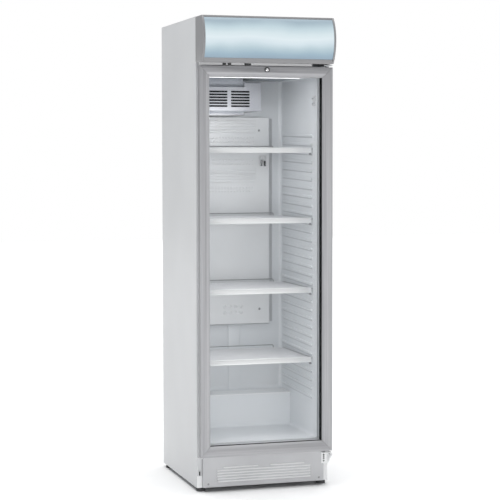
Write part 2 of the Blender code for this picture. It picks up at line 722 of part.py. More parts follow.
def canopy():
    inner_end = HALF - CAP - GAP
    back = FRONT - GAP
    front = canopy_arc(DIFFUSER_INSET, CANOPY_LOWER_TRIM, CANOPY_UPPER_TRIM)
    lower_lip, upper_lip = front[0][0], front[-1][0]
    edge = FRONT - CANOPY_EDGE
    low, high = CANOPY_BOTTOM, CABINET_TOP
    housing = [
        (back, low),
        (edge, low),
        (lower_lip, low + CANOPY_LOWER_TRIM - GAP),
        (lower_lip + TRIM_LIP, low + CANOPY_LOWER_TRIM - GAP),
        (edge + TRIM_LIP, low + SKIN),
        (back - SKIN, low + SKIN),
        (back - SKIN, high - SKIN),
        (edge + TRIM_LIP, high - SKIN),
        (upper_lip + TRIM_LIP, high - CANOPY_UPPER_TRIM + GAP),
        (upper_lip, high - CANOPY_UPPER_TRIM + GAP),
        (edge, high),
        (back, high),
    ]
    part("canopy_housing", prism("canopy_housing", "X", -inner_end, inner_end, housing), GREY_PLASTIC)
    cap = [(back, low), *canopy_arc(0, 0, 0), (back, high)]
    for name, start in (("canopy_end_cap_left", -HALF), ("canopy_end_cap_right", HALF - CAP)):
        part(name, prism(name, "X", start, start + CAP, cap), GREY_PLASTIC)
    margins = (CANOPY_LOWER_TRIM + GAP, CANOPY_UPPER_TRIM + GAP)
    outer = canopy_arc(DIFFUSER_INSET, *margins)
    inner = canopy_arc(DIFFUSER_INSET + DIFFUSER, *margins)
    sheet = outer + inner[::-1]
    part("canopy_diffuser", prism("canopy_diffuser", "X", -inner_end, inner_end, sheet), DIFFUSER_BLUE)
    tube = [
        (0, inner_end),
        (TUBE_HOLDER_RADIUS, inner_end),
        (TUBE_HOLDER_RADIUS, inner_end - TUBE_HOLDER_LENGTH),
        (TUBE_RADIUS, inner_end - TUBE_HOLDER_LENGTH),
        (TUBE_RADIUS, TUBE_HOLDER_LENGTH - inner_end),
        (TUBE_HOLDER_RADIUS, TUBE_HOLDER_LENGTH - inner_end),
        (TUBE_HOLDER_RADIUS, -inner_end),
        (0, -inner_end),
    ]
    middle = Matrix.Translation((0, FRONT - TUBE_REACH, CANOPY_BOTTOM + CANOPY_HEIGHT / 2))
    along_x = middle @ Matrix.Rotation(math.pi / 2, 4, "Y")
    turned("canopy_lamp", tube, WHITE_PLASTIC, along_x, steps=16)


def around(centre, size, clearance=0.0):
    """The low and high corners of a box about a point."""
    half = Vector(size) / 2 + Vector((clearance, 0, clearance))
    return centre - half, centre + half


def through_strip(x, size):
    """A pocket right through the control strip for a control of this size."""
    centre = Vector((x, STRIP_FRONT + STRIP_DEPTH / 2, STRIP_MIDDLE))
    return around(centre, (size[0], 2 * STRIP_DEPTH, size[2]), RUNNING_GAP)


def control_strip():
    low = (-HALF + STRIP_END_CLEARANCE, STRIP_FRONT, CANOPY_BOTTOM - GAP - STRIP_HEIGHT)
    high = (HALF - STRIP_HINGE_CLEARANCE, STRIP_FRONT + STRIP_DEPTH, CANOPY_BOTTOM - GAP)
    strip = part("control_strip", blocks("control_strip", (low, high)), WHITE_PLASTIC)
    pocket = (ROCKER_SIZE[0], ROCKER_SIZE[1], ROCKER_POCKET_HEIGHT - 2 * RUNNING_GAP)
    pockets = [through_strip(offset - HALF, pocket) for _, offset in ROCKERS]
    pockets += [through_strip(CONTROLLER_X + side * BUTTON_OFFSET, BUTTON_SIZE) for side in (-1, 1)]
    pockets.append(through_strip(CONTROLLER_X, CONTROLLER_SIZE))
    cut(strip, blocks("control_pockets", *pockets))
    keeper_far = LINING_BACK + GAP - KEEPER_CLEARANCE
    keeper = ((LOCK.x - KEEPER_HALF, high[1] - GAP, low[2]), (LOCK.x + KEEPER_HALF, keeper_far, high[2]))
    join(strip, blocks("lock_keeper", keeper))
    for name, offset in ROCKERS:
        centre = Vector((offset - HALF, STRIP_FRONT - CONTROL_PROUD + ROCKER_SIZE[1] / 2, STRIP_MIDDLE))
        rocker = part(name, blocks(name, around(centre, ROCKER_SIZE)), BLACK, origin=centre)
        rocker.rotation_euler.x = ROCKER_TILT
    for name, side in (("controller_down_button", -1), ("controller_up_button", 1)):
        x = CONTROLLER_X + side * BUTTON_OFFSET
        centre = Vector((x, STRIP_FRONT - CONTROL_PROUD + BUTTON_SIZE[1] / 2, STRIP_MIDDLE))
        part(name, blocks(name, around(centre, BUTTON_SIZE)), WHITE_PLASTIC, origin=centre)
    centre = Vector((CONTROLLER_X, STRIP_FRONT + CONTROLLER_SIZE[1] / 2, STRIP_MIDDLE))
    display = blocks("temperature_controller", around(centre, CONTROLLER_SIZE))
    part("temperature_controller", display, BLACK)


# Door


def frame_member(name, corner, inward, along, length):
    """One rail of the door's frame: the section drawn out along the rail, mitred at both ends."""
    section = [
        (0, 0),
        (BORDER_WIDTH, 0),
        (RAIL_WIDTH, BEAD_DROP),
        (RAIL_WIDTH, BEAD_DROP + BEAD_LIP),
        (PANE_INSET - GAP, BEAD_DROP + BEAD_LIP),
        (PANE_INSET - GAP, FRAME_DEPTH),
        (0, FRAME_DEPTH),
    ]
    work = bmesh.new()
    work.from_mesh(prism(name, "Z", 0, length, section))
    for end, normal in ((GAP, (1, 0, -1)), (length - GAP, (1, 0, 1))):
        bmesh.ops.bisect_plane(
            work,
            geom=[*work.verts, *work.edges, *work.faces],
            plane_co=(0, 0, end),
            plane_no=normal,
            clear_outer=True,
        )
        bmesh.ops.holes_fill(work, edges=[edge for edge in work.edges if edge.is_boundary])
    depthwise = UNIT["Y"]
    turn = Matrix((inward, depthwise, along)).transposed().to_4x4()
    work.transform(Matrix.Translation((corner[0], DOOR_FRONT, corner[1])) @ turn)
    return part(name, mesh_from(work, name), SILVER, parent=DOOR)


def pin_hole(name, start, end):
    return rod(name, "Z", start, end, HINGE, PIN_RADIUS + RUNNING_GAP)


def lock_hole(name):
    return rod(name, "Y", DOOR_FRONT - PANE, FRONT, LOCK, LOCK_CORE_RADIUS + RUNNING_GAP)


def door_frame():
    right, up = UNIT["X"], UNIT["Z"]
    frame_member("door_left_stile", (-HALF, DOOR_BOTTOM), right, up, DOOR_HEIGHT)
    top = frame_member("door_top_rail", (-HALF, DOOR_TOP), -up, right, CABINET_WIDTH)
    frame_member("door_right_stile", (HALF, DOOR_TOP), -right, -up, DOOR_HEIGHT)
    bottom = frame_member("door_bottom_rail", (HALF, DOOR_BOTTOM), up, -right, CABINET_WIDTH)
    deep = PIN_DEPTH + RUNNING_GAP
    cut(top, pin_hole("upper_pin_hole", DOOR_TOP - deep, DOOR_TOP + PANE))
    cut(top, lock_hole("rail_lock_hole"))
    cut(bottom, pin_hole("lower_pin_hole", DOOR_BOTTOM - PANE, DOOR_BOTTOM + deep))


def door_glazing():
    for name, near in (("outer_pane", GLASS_FRONT), ("inner_pane", INNER_PANE_FRONT)):
        part(name, prism(name, "Y", near, near + PANE, framed(PANE_INSET)), GLASS, parent=DOOR)
    far = SPACER_FRONT + SPACER_DEPTH
    spacer = prism("glazing_spacer", "Y", SPACER_FRONT, far, framed(PANE_INSET), [framed(RAIL_WIDTH)])
    part("glazing_spacer", spacer, BLACK, parent=DOOR)
    lining = part(
        "door_lining",
        prism("door_lining", "Y", LINING_FRONT, LINING_BACK, framed(LINING_INSET), [framed(RAIL_WIDTH)]),
        PALE_PLASTIC,
        parent=DOOR,
    )
    rebate_back = INNER_PANE_FRONT + PANE + GAP
    rebate = prism("lining_rebate", "Y", LINING_FRONT - PANE, rebate_back, framed(PANE_INSET - GAP))
    cut(lining, rebate)
    cut(lining, lock_hole("lining_lock_hole"))
    ring = [framed(GASKET_INSET + GASKET_WIDTH)]
    gasket_back = FRONT - GASKET_CLEARANCE
    gasket = prism("door_gasket", "Y", LINING_BACK + GAP, gasket_back, framed(GASKET_INSET), ring)
    part("door_gasket", gasket, GREY_PLASTIC, parent=DOOR)


def door_lock():
    facing_front = Matrix.Translation(LOCK) @ Matrix.Rotation(math.pi / 2, 4, "X")
    bore = LOCK_CORE_RADIUS + RUNNING_GAP
    ring = [
        (bore, LOCK_PROUD),
        (LOCK_RADIUS * 0.85, LOCK_PROUD),
        (LOCK_RADIUS, LOCK_PROUD / 2),
        (LOCK_RADIUS, GAP),
        (bore, GAP),
    ]
    turned("lock_bezel", ring, BLACK, facing_front, parent=DOOR, closed=True)
    cam_front = LINING_BACK + GAP
    near = DOOR_FRONT - LOCK_PROUD
    core_mesh = rod("lock_cylinder", "Y", near, cam_front + GAP, LOCK, LOCK_CORE_RADIUS, 20)
    core = part("lock_cylinder", core_mesh, CHROME, parent=DOOR, origin=LOCK)
    low = (LOCK.x - LOCK_CORE_RADIUS, cam_front, LOCK.z - CAM_SIZE[2] / 2)
    high = (LOCK.x + CAM_SIZE[0], cam_front + CAM_SIZE[1], LOCK.z + CAM_SIZE[2] / 2)
    join(core, blocks("lock_cam", (low, high)))
    slot = (KEY_SLOT[0], 2 * LOCK_PROUD, KEY_SLOT[1])
    cut(core, blocks("lock_key_slot", around(Vector((LOCK.x, near, LOCK.z)), slot)))


# Inside


def shelf(number):
    name = f"shelf_{number + 1}"
    top = TOP_SHELF - number * SHELF_PITCH
    deck_top = top - DECK_DROP
    half = INNER - SHELF_SIDE_CLEARANCE
    near, far = FRONT + SHELF_FRONT, DUCT_FRONT - DUCT_CLEARANCE
    deck_front = near + TICKET_DEPTH / 2
    row_pitch = (far - deck_front - TICKET_DEPTH - DECK_WIRE) / DECK_ROWS
    column_pitch = (2 * half - DECK_WIRE) / DECK_COLUMNS
    holes = []
    for row in range(DECK_ROWS):
        low_y = deck_front + TICKET_DEPTH + row * row_pitch
        for column in range(DECK_COLUMNS):
            low_x = -half + DECK_WIRE + column * column_pitch
            high_x = low_x + column_pitch - DECK_WIRE
            holes.append(rectangle((low_x, low_y), (high_x, low_y + row_pitch - DECK_WIRE)))
    outline = rectangle((-half, deck_front), (half, far))
    mesh = prism(name, "Z", deck_top - DECK, deck_top, outline, holes)
    deck = part(name, mesh, WHITE_PLASTIC, origin=(0, near, top))
    rail_half = INNER - TICKET_INSET
    rail = ((-rail_half, near, top - TICKET_HEIGHT), (rail_half, near + TICKET_DEPTH, top))
    join(deck, blocks(f"{name}_ticket_rail", rail))
    stop_half = half - DECK_WIRE
    backstop = ((-stop_half, far - DECK, deck_top - DECK / 2), (stop_half, far, deck_top + BACKSTOP_HEIGHT))
    join(deck, blocks(f"{name}_backstop", backstop))


def rear_duct():
    half = DUCT_HALF
    far = REAR - GAP
    outline = [
        (-half, far),
        (-half, DUCT_FRONT),
        (half, DUCT_FRONT),
        (half, far),
        (half - SKIN, far),
        (half - SKIN, DUCT_FRONT + SKIN),
        (-half + SKIN, DUCT_FRONT + SKIN),
        (-half + SKIN, far),
    ]
    low, high = HUMP_TOP + DUCT_ABOVE_HUMP, COVER_BOTTOM - DUCT_BELOW_EVAPORATOR
    part("rear_duct_panel", prism("rear_duct_panel", "Z", low, high, outline), WHITE_PLASTIC)


def cover_outline(wall):
    low = COVER_BOTTOM + wall
    step = COVER_RIGHT - EVAPORATOR_TALL_WIDTH + wall
    left_top = COVER_BOTTOM + EVAPORATOR_HEIGHT - wall
    tall_top = COVER_BOTTOM + EVAPORATOR_TALL_HEIGHT - wall
    left, right = COVER_LEFT + wall, COVER_RIGHT - wall
    return [
        (left, low),
        (right, low),
        (right, tall_top),
        (step, tall_top),
        (step, left_top),
        (left, left_top),
    ]


def evaporator():
    far = REAR - GAP
    cover_mesh = prism("evaporator_cover", "Y", COVER_FRONT, far, cover_outline(0))
    cover = part("evaporator_cover", cover_mesh, WHITE_PLASTIC)
    hollow = prism("cover_hollow", "Y", COVER_FRONT + COVER_WALL, far + COVER_WALL, cover_outline(COVER_WALL))
    cut(cover, hollow)
    slots = []
    for left, right in SLOT_COLUMNS:
        for row in range(SLOT_ROWS):
            high = COVER_BOTTOM + EVAPORATOR_HEIGHT - SLOT_TOP_DROP - row * SLOT_PITCH
            low_corner = (COVER_LEFT + left, COVER_FRONT - COVER_WALL, high - SLOT_HEIGHT)
            slots.append((low_corner, (COVER_LEFT + right, COVER_FRONT + 2 * COVER_WALL, high)))
    cut(cover, blocks("cover_slots", *slots))
    coil_left, coil_right = COVER_LEFT + COVER_WALL + GAP, COVER_RIGHT - COVER_WALL - GAP
    coil_far = REAR - COIL_REAR
    coil_near = coil_far - COIL_DEPTH
    seat = COVER_FLOOR + GAP
    coil_high = (coil_right, coil_far, seat + COIL_HEIGHT)
    finned_block("evaporator_coil", (coil_left, coil_near, seat), coil_high, COIL_GROOVES)
    axis = Vector((COVER_LEFT + EVAPORATOR_FAN_OFFSET, 0, COVER_BOTTOM + EVAPORATOR_HEIGHT / 2))
    hub_front = COVER_FRONT + EVAPORATOR_FAN_BEHIND
    fan("evaporator_fan", axis, hub_front, EVAPORATOR_FAN_RADIUS)
    fan_motor("evaporator_fan_motor", axis, hub_front + FAN_HUB_LENGTH + GAP, seat)
    tray_top = COVER_BOTTOM - DRIP_TRAY_DROP
    tray_low = (COVER_LEFT, COVER_FRONT + DRIP_TRAY_SETBACK, tray_top - DRIP_TRAY_HEIGHT)
    pan("drip_tray", tray_low, (COVER_LEFT + DRIP_TRAY_WIDTH, far, tray_top), COVER_WALL)


def finned_block(name, low, high, grooves):
    """A heat exchanger: a block with upright grooves between its fins, front and rear."""
    block = part(name, blocks(name, (low, high)), LIGHT_STEEL)
    pitch = (high[0] - low[0]) / (grooves + 1)
    depth = (high[1] - low[1]) / 4
    slots = []
    for index in range(grooves):
        left = low[0] + (index + 0.75) * pitch
        for near, far in ((low[1] - depth, low[1] + depth), (high[1] - depth, high[1] + depth)):
            slots.append(((left, near, low[2] + LINER), (left + pitch / 2, far, high[2] - LINER)))
    return cut(block, blocks(f"{name}_grooves", *slots))


def pan(name, low, high, wall):
    tray = part(name, blocks(name, (low, high)), WHITE_PLASTIC)
    inner_low = Vector(low) + Vector((wall, wall, wall))
    inner_high = Vector(high) + Vector((-wall, -wall, wall))
    return cut(tray, blocks(f"{name}_inside", (inner_low, inner_high)))


def fan(name, axis, hub_front, radius):
    """A hub with pitched blades that turns about the Y axis through a point."""
    hub_back = hub_front + FAN_HUB_LENGTH
    middle = Vector((axis.x, (hub_front + hub_back) / 2, axis.z))
    rotor = part(name, rod(name, "Y", hub_front, hub_back, axis, FAN_HUB_RADIUS), BLACK, origin=middle)
    work = bmesh.new()
    inner = FAN_HUB_RADIUS * 0.6
    span = radius - inner
    for blade in range(FAN_BLADES):
        spin = Matrix.Rotation(2 * math.pi * blade / FAN_BLADES, 4, "Y")
        lift = Matrix.Translation((0, 0, inner + span / 2)) @ Matrix.Rotation(FAN_PITCH, 4, "Z")
        size = Matrix.Diagonal((FAN_HUB_LENGTH, BLADE, span, 1))
        bmesh.ops.create_cube(work, size=1, matrix=Matrix.Translation(middle) @ spin @ lift @ size)
    return join(rotor, mesh_from(work, f"{name}_blades"))


def fan_motor(name, axis, shaft_front, seat):
    """A motor with its shaft towards the fan, on a foot that stands on the seat."""
    near = shaft_front + SHAFT_LENGTH
    motor = part(name, rod(name, "Y", near, near + MOTOR_LENGTH, axis, MOTOR_RADIUS), LIGHT_STEEL)
    join(motor, rod(f"{name}_shaft", "Y", shaft_front, near + SHAFT_LENGTH, axis, SHAFT_RADIUS, 10))
    foot_low = (axis.x - MOTOR_FOOT / 2, near + SHAFT_LENGTH / 2, seat)
    foot_high = (axis.x + MOTOR_FOOT / 2, near + SHAFT_LENGTH, axis.z)
    return join(motor, blocks(f"{name}_foot", (foot_low, foot_high)))


def interior_lamp():
    near, far = FRONT + LAMP_FRONT, FRONT + LAMP_FRONT + LAMP_DEPTH
    top, low = CEILING - GAP, CEILING - GAP - LAMP_HEIGHT
    slope = LAMP_HEIGHT / 2
    outline = [
        (near, top),
        (near, low + slope),
        (near + slope, low),
        (far - slope, low),
        (far, low + slope),
        (far, top),
    ]
    left, right = -INNER + LAMP_LEFT_CLEARANCE, INNER - LAMP_RIGHT_CLEARANCE
    part("interior_lamp", prism("interior_lamp", "X", left, right, outline), WHITE_PLASTIC)


# Machine compartment


def compressor():
    seat = TRAY_TOP + GAP
    centre = Vector((COMPRESSOR_X, BACK - COMPRESSOR_REAR, seat))
    width, depth, thick = COMPRESSOR_PLATE
    plate_low = centre - Vector((width / 2, depth / 2, 0))
    plate_high = centre + Vector((width / 2, depth / 2, thick))
    height = COMPRESSOR_TOP - seat
    shoulder = height * 0.72
    profile = [
        (0, height),
        (COMPRESSOR_RADIUS * 0.55, height),
        (COMPRESSOR_RADIUS * 0.88, height * 0.9),
        (COMPRESSOR_RADIUS, shoulder),
        (COMPRESSOR_RADIUS, height * 0.3),
        (COMPRESSOR_RADIUS * 0.8, height * 0.12),
        (COMPRESSOR_RADIUS * 0.8, thick / 2),
        (0, thick / 2),
    ]
    shell = turned("compressor", profile, BLACK, Matrix.Translation(centre))
    join(shell, blocks("compressor_plate", (plate_low, plate_high)))
    half_width, half_depth = PAN_SIZE[0] / 2, PAN_SIZE[1] / 2
    bottom = COMPRESSOR_TOP + GAP
    pan_low = (centre.x - half_width, centre.y - half_depth, bottom)
    pan_high = (centre.x + half_width, centre.y + half_depth, bottom + PAN_SIZE[2])
    pan("condensate_pan", pan_low, pan_high, PAN_WALL)


def condenser():
    seat = TRAY_TOP + GAP
    near, far = FRONT + CONDENSER_FRONT, FRONT + CONDENSER_FRONT + CONDENSER_DEPTH
    low, high = (-CONDENSER_HALF, near, seat), (CONDENSER_HALF, far, seat + CONDENSER_HEIGHT)
    finned_block("condenser", low, high, CONDENSER_GROOVES)
    axis = Vector((0, 0, seat + SHROUD_HEIGHT / 2))
    hole = circle((axis.x, axis.z), CONDENSER_FAN_RADIUS + FAN_TIP_CLEARANCE, 24)
    half_width = CONDENSER_HALF - SHROUD_INSET
    outline = rectangle((-half_width, seat), (half_width, seat + SHROUD_HEIGHT))
    plate_near = far + SHROUD_GAP
    shroud_mesh = prism("condenser_fan_shroud", "Y", plate_near, plate_near + SHROUD, outline, [hole])
    shroud = part("condenser_fan_shroud", shroud_mesh, LIGHT_STEEL)
    hub_front = plate_near + SHROUD + FAN_BEHIND_SHROUD
    fan("condenser_fan", axis, hub_front, CONDENSER_FAN_RADIUS)
    shaft_front = hub_front + FAN_HUB_LENGTH + GAP
    motor_near = shaft_front + SHAFT_LENGTH
    motor_far = motor_near + MOTOR_LENGTH
    join(shroud, rod("shroud_motor", "Y", motor_near, motor_far, axis, MOTOR_RADIUS))
    join(shroud, rod("shroud_shaft", "Y", shaft_front, motor_far - SHAFT_LENGTH, axis, SHAFT_RADIUS, 10))
    half = MOTOR_FOOT / 2
    rail = ((-half, plate_near + SHROUD / 2, seat), (half, motor_far, seat + BRACKET))
    post = ((-half, motor_near + SHAFT_LENGTH, seat + BRACKET / 2), (half, motor_far - SHAFT_LENGTH, axis.z))
    join(shroud, blocks("shroud_rail", rail))
    join(shroud, blocks("shroud_post", post))


def bend(corner, before, after, steps=4):
    """Points of a rounded corner, from a curve that starts and ends PIPE_BEND from it."""
    start = corner + (before - corner).normalized() * PIPE_BEND
    end = corner + (after - corner).normalized() * PIPE_BEND
    points = []
    for step in range(steps + 1):
        t = step / steps
        points.append((1 - t) ** 2 * start + 2 * t * (1 - t) * corner + t**2 * end)
    return points


def discharge_pipe():
    """The pipe from the compressor's side to the end of the condenser."""
    centre_y = BACK - COMPRESSOR_REAR
    condenser_y = FRONT + CONDENSER_FRONT + CONDENSER_DEPTH / 2
    start = Vector((COMPRESSOR_X + COMPRESSOR_RADIUS + GAP, centre_y, PIPE_HEIGHT))
    pipe_x = CONDENSER_HALF + PIPE_SIDE
    first = Vector((pipe_x, centre_y, PIPE_HEIGHT))
    second = Vector((pipe_x, condenser_y, PIPE_HEIGHT))
    end = Vector((CONDENSER_HALF + GAP, condenser_y, PIPE_HEIGHT))
    route = [start, *bend(first, start, second), *bend(second, first, end), end]
    curve = bpy.data.curves.new("discharge_pipe", "CURVE")
    curve.dimensions = "3D"
    curve.bevel_depth = PIPE_RADIUS
    curve.bevel_resolution = 2
    curve.use_fill_caps = True
    spline = curve.splines.new("POLY")
    spline.points.add(len(route) - 1)
    for point, place in zip(spline.points, route):
        point.co = (*(place - start), 1)
    pipe = bpy.data.objects.new("discharge_pipe", curve)
    pipe.location = start
    pipe.parent = CABINET
    PARTS.objects.link(pipe)
    paint(pipe, COPPER)


def power_gland():
    """The bush in the back panel where a supply cord would enter."""
    place = Matrix.Translation((GLAND_X, BACK, GLAND_HEIGHT)) @ Matrix.Rotation(math.pi / 2, 4, "X")
    flange_near, flange_far = GLAND_LENGTH / 2, SKIN + GAP
    ring = [
        (GLAND_BORE_RADIUS, GLAND_LENGTH),
        (GLAND_RADIUS, GLAND_LENGTH),
        (GLAND_RADIUS, flange_near),
        (GLAND_FLANGE_RADIUS, flange_near),
        (GLAND_FLANGE_RADIUS, flange_far),
        (GLAND_RADIUS, flange_far),
        (GLAND_RADIUS, 0),
        (GLAND_BORE_RADIUS, 0),
    ]
    turned("power_gland", ring, BLACK, place, closed=True, steps=16)


def main():
    outer_panels()
    base_and_feet()
    insulation()
    liner()
    kick_grille()
    lower_hinge()
    upper_hinge()
    corner_bracket()
    canopy()
    control_strip()
    door_frame()
    door_glazing()
    door_lock()
    for number in range(SHELF_COUNT):
        shelf(number)
    rear_duct()
    evaporator()
    interior_lamp()
    compressor()
    condenser()
    discharge_pipe()
    power_gland()


main()
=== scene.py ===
"""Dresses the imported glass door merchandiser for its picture.

The cabinet is folded, painted sheet steel with a ribbed plastic liner, four wire shelves and a lit ceiling.
A double glazed door with an aluminium frame closes it, and a curved, lit canopy stands over the door.
Sizes are in metres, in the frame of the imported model.
"""

import json
import logging
import math
from contextlib import contextmanager
from dataclasses import dataclass, replace
from enum import Enum
from typing import Any, Callable, Iterator, Sequence

import bmesh
import bpy
from mathutils import Matrix, Vector

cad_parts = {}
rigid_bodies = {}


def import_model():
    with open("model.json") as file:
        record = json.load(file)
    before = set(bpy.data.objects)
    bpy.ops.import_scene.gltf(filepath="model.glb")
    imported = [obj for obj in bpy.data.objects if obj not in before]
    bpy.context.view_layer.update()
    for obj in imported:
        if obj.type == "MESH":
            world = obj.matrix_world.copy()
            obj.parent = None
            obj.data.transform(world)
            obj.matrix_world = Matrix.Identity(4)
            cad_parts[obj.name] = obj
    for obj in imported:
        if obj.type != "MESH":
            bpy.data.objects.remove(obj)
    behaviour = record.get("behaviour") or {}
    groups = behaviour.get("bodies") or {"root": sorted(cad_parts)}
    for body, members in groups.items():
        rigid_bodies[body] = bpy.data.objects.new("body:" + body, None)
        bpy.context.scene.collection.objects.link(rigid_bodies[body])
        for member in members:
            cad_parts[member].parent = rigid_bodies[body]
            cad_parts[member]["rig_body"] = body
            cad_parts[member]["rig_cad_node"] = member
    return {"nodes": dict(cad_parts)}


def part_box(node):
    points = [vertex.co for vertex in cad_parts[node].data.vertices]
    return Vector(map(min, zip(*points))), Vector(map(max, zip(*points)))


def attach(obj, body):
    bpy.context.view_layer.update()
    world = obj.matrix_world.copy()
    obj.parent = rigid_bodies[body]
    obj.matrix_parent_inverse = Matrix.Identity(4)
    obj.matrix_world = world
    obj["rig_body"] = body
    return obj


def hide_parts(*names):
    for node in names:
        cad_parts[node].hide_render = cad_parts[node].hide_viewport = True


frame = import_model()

LOG = logging.getLogger("merchandiser")
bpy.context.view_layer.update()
WELD = 1e-5

Colour = tuple[float, float, float]
Pair = tuple[float, float]
Triple = tuple[float, float, float]
Thing = bpy.types.Object
FaceTest = Callable[[bmesh.types.BMFace], bool]
EdgeTest = Callable[[bmesh.types.BMEdge], bool]
PolygonTest = Callable[[bpy.types.MeshPolygon], bool]


class Axis(Enum):
    """One of the frame's axes, as the place of its value in a point."""

    X = 0
    Y = 1
    Z = 2

    def vector(self, length: float = 1.0) -> Vector:
        """A vector of this length along the axis."""
        return self.point(length, (0.0, 0.0))

    def point(self, along: float, pair: Pair) -> Vector:
        """Puts a distance along the axis together with the values on the other two axes, in order."""
        values = list(pair)
        values.insert(self.value, along)
        return Vector(values)


class Bench:
    """Modelling steps that act on one piece at a time."""

    @staticmethod
    def take(*pieces: Thing) -> None:
        """Selects these pieces and nothing else, the first of them active."""
        bpy.ops.object.select_all(action="DESELECT")
        for piece in pieces:
            piece.select_set(True)
        bpy.context.view_layer.objects.active = pieces[0]

    @staticmethod
    def named(name: str) -> Thing:
        """Names the object that an operator has just made."""
        piece = bpy.context.active_object
        piece.name = name
        piece.data.name = name
        return piece

    @staticmethod
    @contextmanager
    def editing(piece: Thing) -> Iterator[None]:
        """Holds a piece in edit mode with all of it selected.

        Args:
            piece: The mesh to edit.
        """
        Bench.take(piece)
        bpy.ops.object.mode_set(mode="EDIT")
        bpy.ops.mesh.select_mode(type="VERT")
        bpy.ops.mesh.select_all(action="SELECT")
        yield
        bpy.ops.object.mode_set(mode="OBJECT")

    @staticmethod
    def pick_faces(piece: Thing, wanted: FaceTest) -> None:
        """Selects the faces of a piece in edit mode that pass a test."""
        bpy.ops.mesh.select_mode(type="FACE")
        bpy.ops.mesh.select_all(action="DESELECT")
        for face in bmesh.from_edit_mesh(piece.data).faces:
            if wanted(face):
                face.select_set(True)
        bmesh.update_edit_mesh(piece.data)

    @staticmethod
    def pick_edges(piece: Thing, wanted: EdgeTest) -> None:
        """Selects the edges of a piece in edit mode that pass a test."""
        bpy.ops.mesh.select_mode(type="EDGE")
        bpy.ops.mesh.select_all(action="DESELECT")
        for edge in bmesh.from_edit_mesh(piece.data).edges:
            if wanted(edge):
                edge.select_set(True)
        bmesh.update_edit_mesh(piece.data)

    @staticmethod
    def cuboid(name: str, low: Sequence[float], high: Sequence[float]) -> Thing:
        """Adds a block between two corners.

        Args:
            name: The piece's name.
            low: Its lowest corner.
            high: Its highest corner.

        Returns:
            The block, to be shaped further.
        """
        first, last = Vector(low), Vector(high)
        bpy.ops.object.select_all(action="DESELECT")
        bpy.ops.mesh.primitive_cube_add(size=1, location=(first + last) / 2)
        piece = Bench.named(name)
        piece.scale = last - first
        bpy.ops.object.transform_apply(location=True, rotation=True, scale=True)
        return piece

    @staticmethod
    def plate(name: str, outline: Sequence[Pair], axis: Axis, start: float, end: float) -> Thing:
        """Draws a flat outline out along an axis.

        Args:
            name: The piece's name.
            outline: Corners on the two other axes.
            axis: The direction that the outline is drawn out in.
            start: Where it starts on that axis.
            end: Where it ends.

        Returns:
            The closed solid.
        """
        bpy.ops.object.select_all(action="DESELECT")
        bpy.ops.mesh.primitive_circle_add(vertices=len(outline), fill_type="NGON")
        piece = Bench.named(name)
        for vertex, pair in zip(piece.data.vertices, outline):
            vertex.co = axis.point(start, pair)
        with Bench.editing(piece):
            bpy.ops.mesh.extrude_region_move(TRANSFORM_OT_translate={"value": axis.vector(end - start)})
            bpy.ops.mesh.select_all(action="SELECT")
            bpy.ops.mesh.normals_make_consistent(inside=False)
        return piece

    @staticmethod
    def lathe(name: str, profile: Sequence[Pair], centre: Sequence[float], axis: Axis, steps: int = 32) -> Thing:
        """Spins a closed profile about an axis.

        Args:
            name: The piece's name.
            profile: Pairs of radius and distance along the axis.
            centre: The point that the distances start from.
            axis: The axis of the spin.
            steps: How many sides the piece has.

        Returns:
            The turned solid.
        """
        middle = Vector(centre)
        arm = Axis.Y if axis is Axis.X else Axis.X
        bpy.ops.object.select_all(action="DESELECT")
        bpy.ops.mesh.primitive_circle_add(vertices=len(profile), fill_type="NOTHING")
        piece = Bench.named(name)
        for vertex, (radius, along) in zip(piece.data.vertices, profile):
            vertex.co = middle + axis.vector(along) + arm.vector(radius)
        with Bench.editing(piece):
            bpy.ops.mesh.spin(steps=steps, angle=2 * math.pi, center=middle, axis=axis.vector())
            bpy.ops.mesh.select_all(action="SELECT")
            bpy.ops.mesh.remove_doubles(threshold=WELD)
            bpy.ops.mesh.normals_make_consistent(inside=False)
        return piece

    @staticmethod
    def wire(name: str, points: Sequence[Triple], radius: float, sides: int = 3) -> Thing:
        """Bends a round wire along a line of points.

        Args:
            name: The piece's name.
            points: The wire's centre line.
            radius: Half its thickness.
            sides: How finely its section is rounded.

        Returns:
            The wire as a closed mesh.
        """
        line = bpy.data.curves.new(name, "CURVE")
        line.dimensions = "3D"
        line.bevel_depth = radius
        line.bevel_resolution = sides
        line.use_fill_caps = True
        path = line.splines.new("POLY")
        path.points.add(len(points) - 1)
        for point, place in zip(path.points, points):
            point.co = (*place, 1)
        piece = bpy.data.objects.new(name, line)
        bpy.context.scene.collection.objects.link(piece)
        Bench.take(piece)
        bpy.ops.object.convert(target="MESH")
        piece = Bench.named(name)
        with Bench.editing(piece):
            bpy.ops.mesh.remove_doubles(threshold=WELD)
            bpy.ops.mesh.normals_make_consistent(inside=False)
        return piece

    @staticmethod
    def copy_of(node: str, name: str) -> Thing:
        """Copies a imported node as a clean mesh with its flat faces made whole.

        Args:
            node: The node's name.
            name: The copy's name.

        Returns:
            The copy, free of its body.
        """
        Bench.take(frame["nodes"][node])
        bpy.ops.object.duplicate()
        piece = Bench.named(name)
        piece.parent = None
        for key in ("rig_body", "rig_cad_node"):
            del piece[key]
        piece.data.materials.clear()
        with Bench.editing(piece):
            bpy.ops.mesh.customdata_custom_splitnormals_clear()
            bpy.ops.mesh.remove_doubles(threshold=WELD)
            bpy.ops.mesh.dissolve_limited(angle_limit=math.radians(0.3))
        return piece

    @staticmethod
    def copy_at(piece: Thing, name: str, shift: Sequence[float]) -> Thing:
        """Copies a finished piece to another place, with a mesh of its own."""
        Bench.take(piece)
        bpy.ops.object.duplicate()
        copy = Bench.named(name)
        with Bench.editing(copy):
            bpy.ops.transform.translate(value=shift)
        return copy

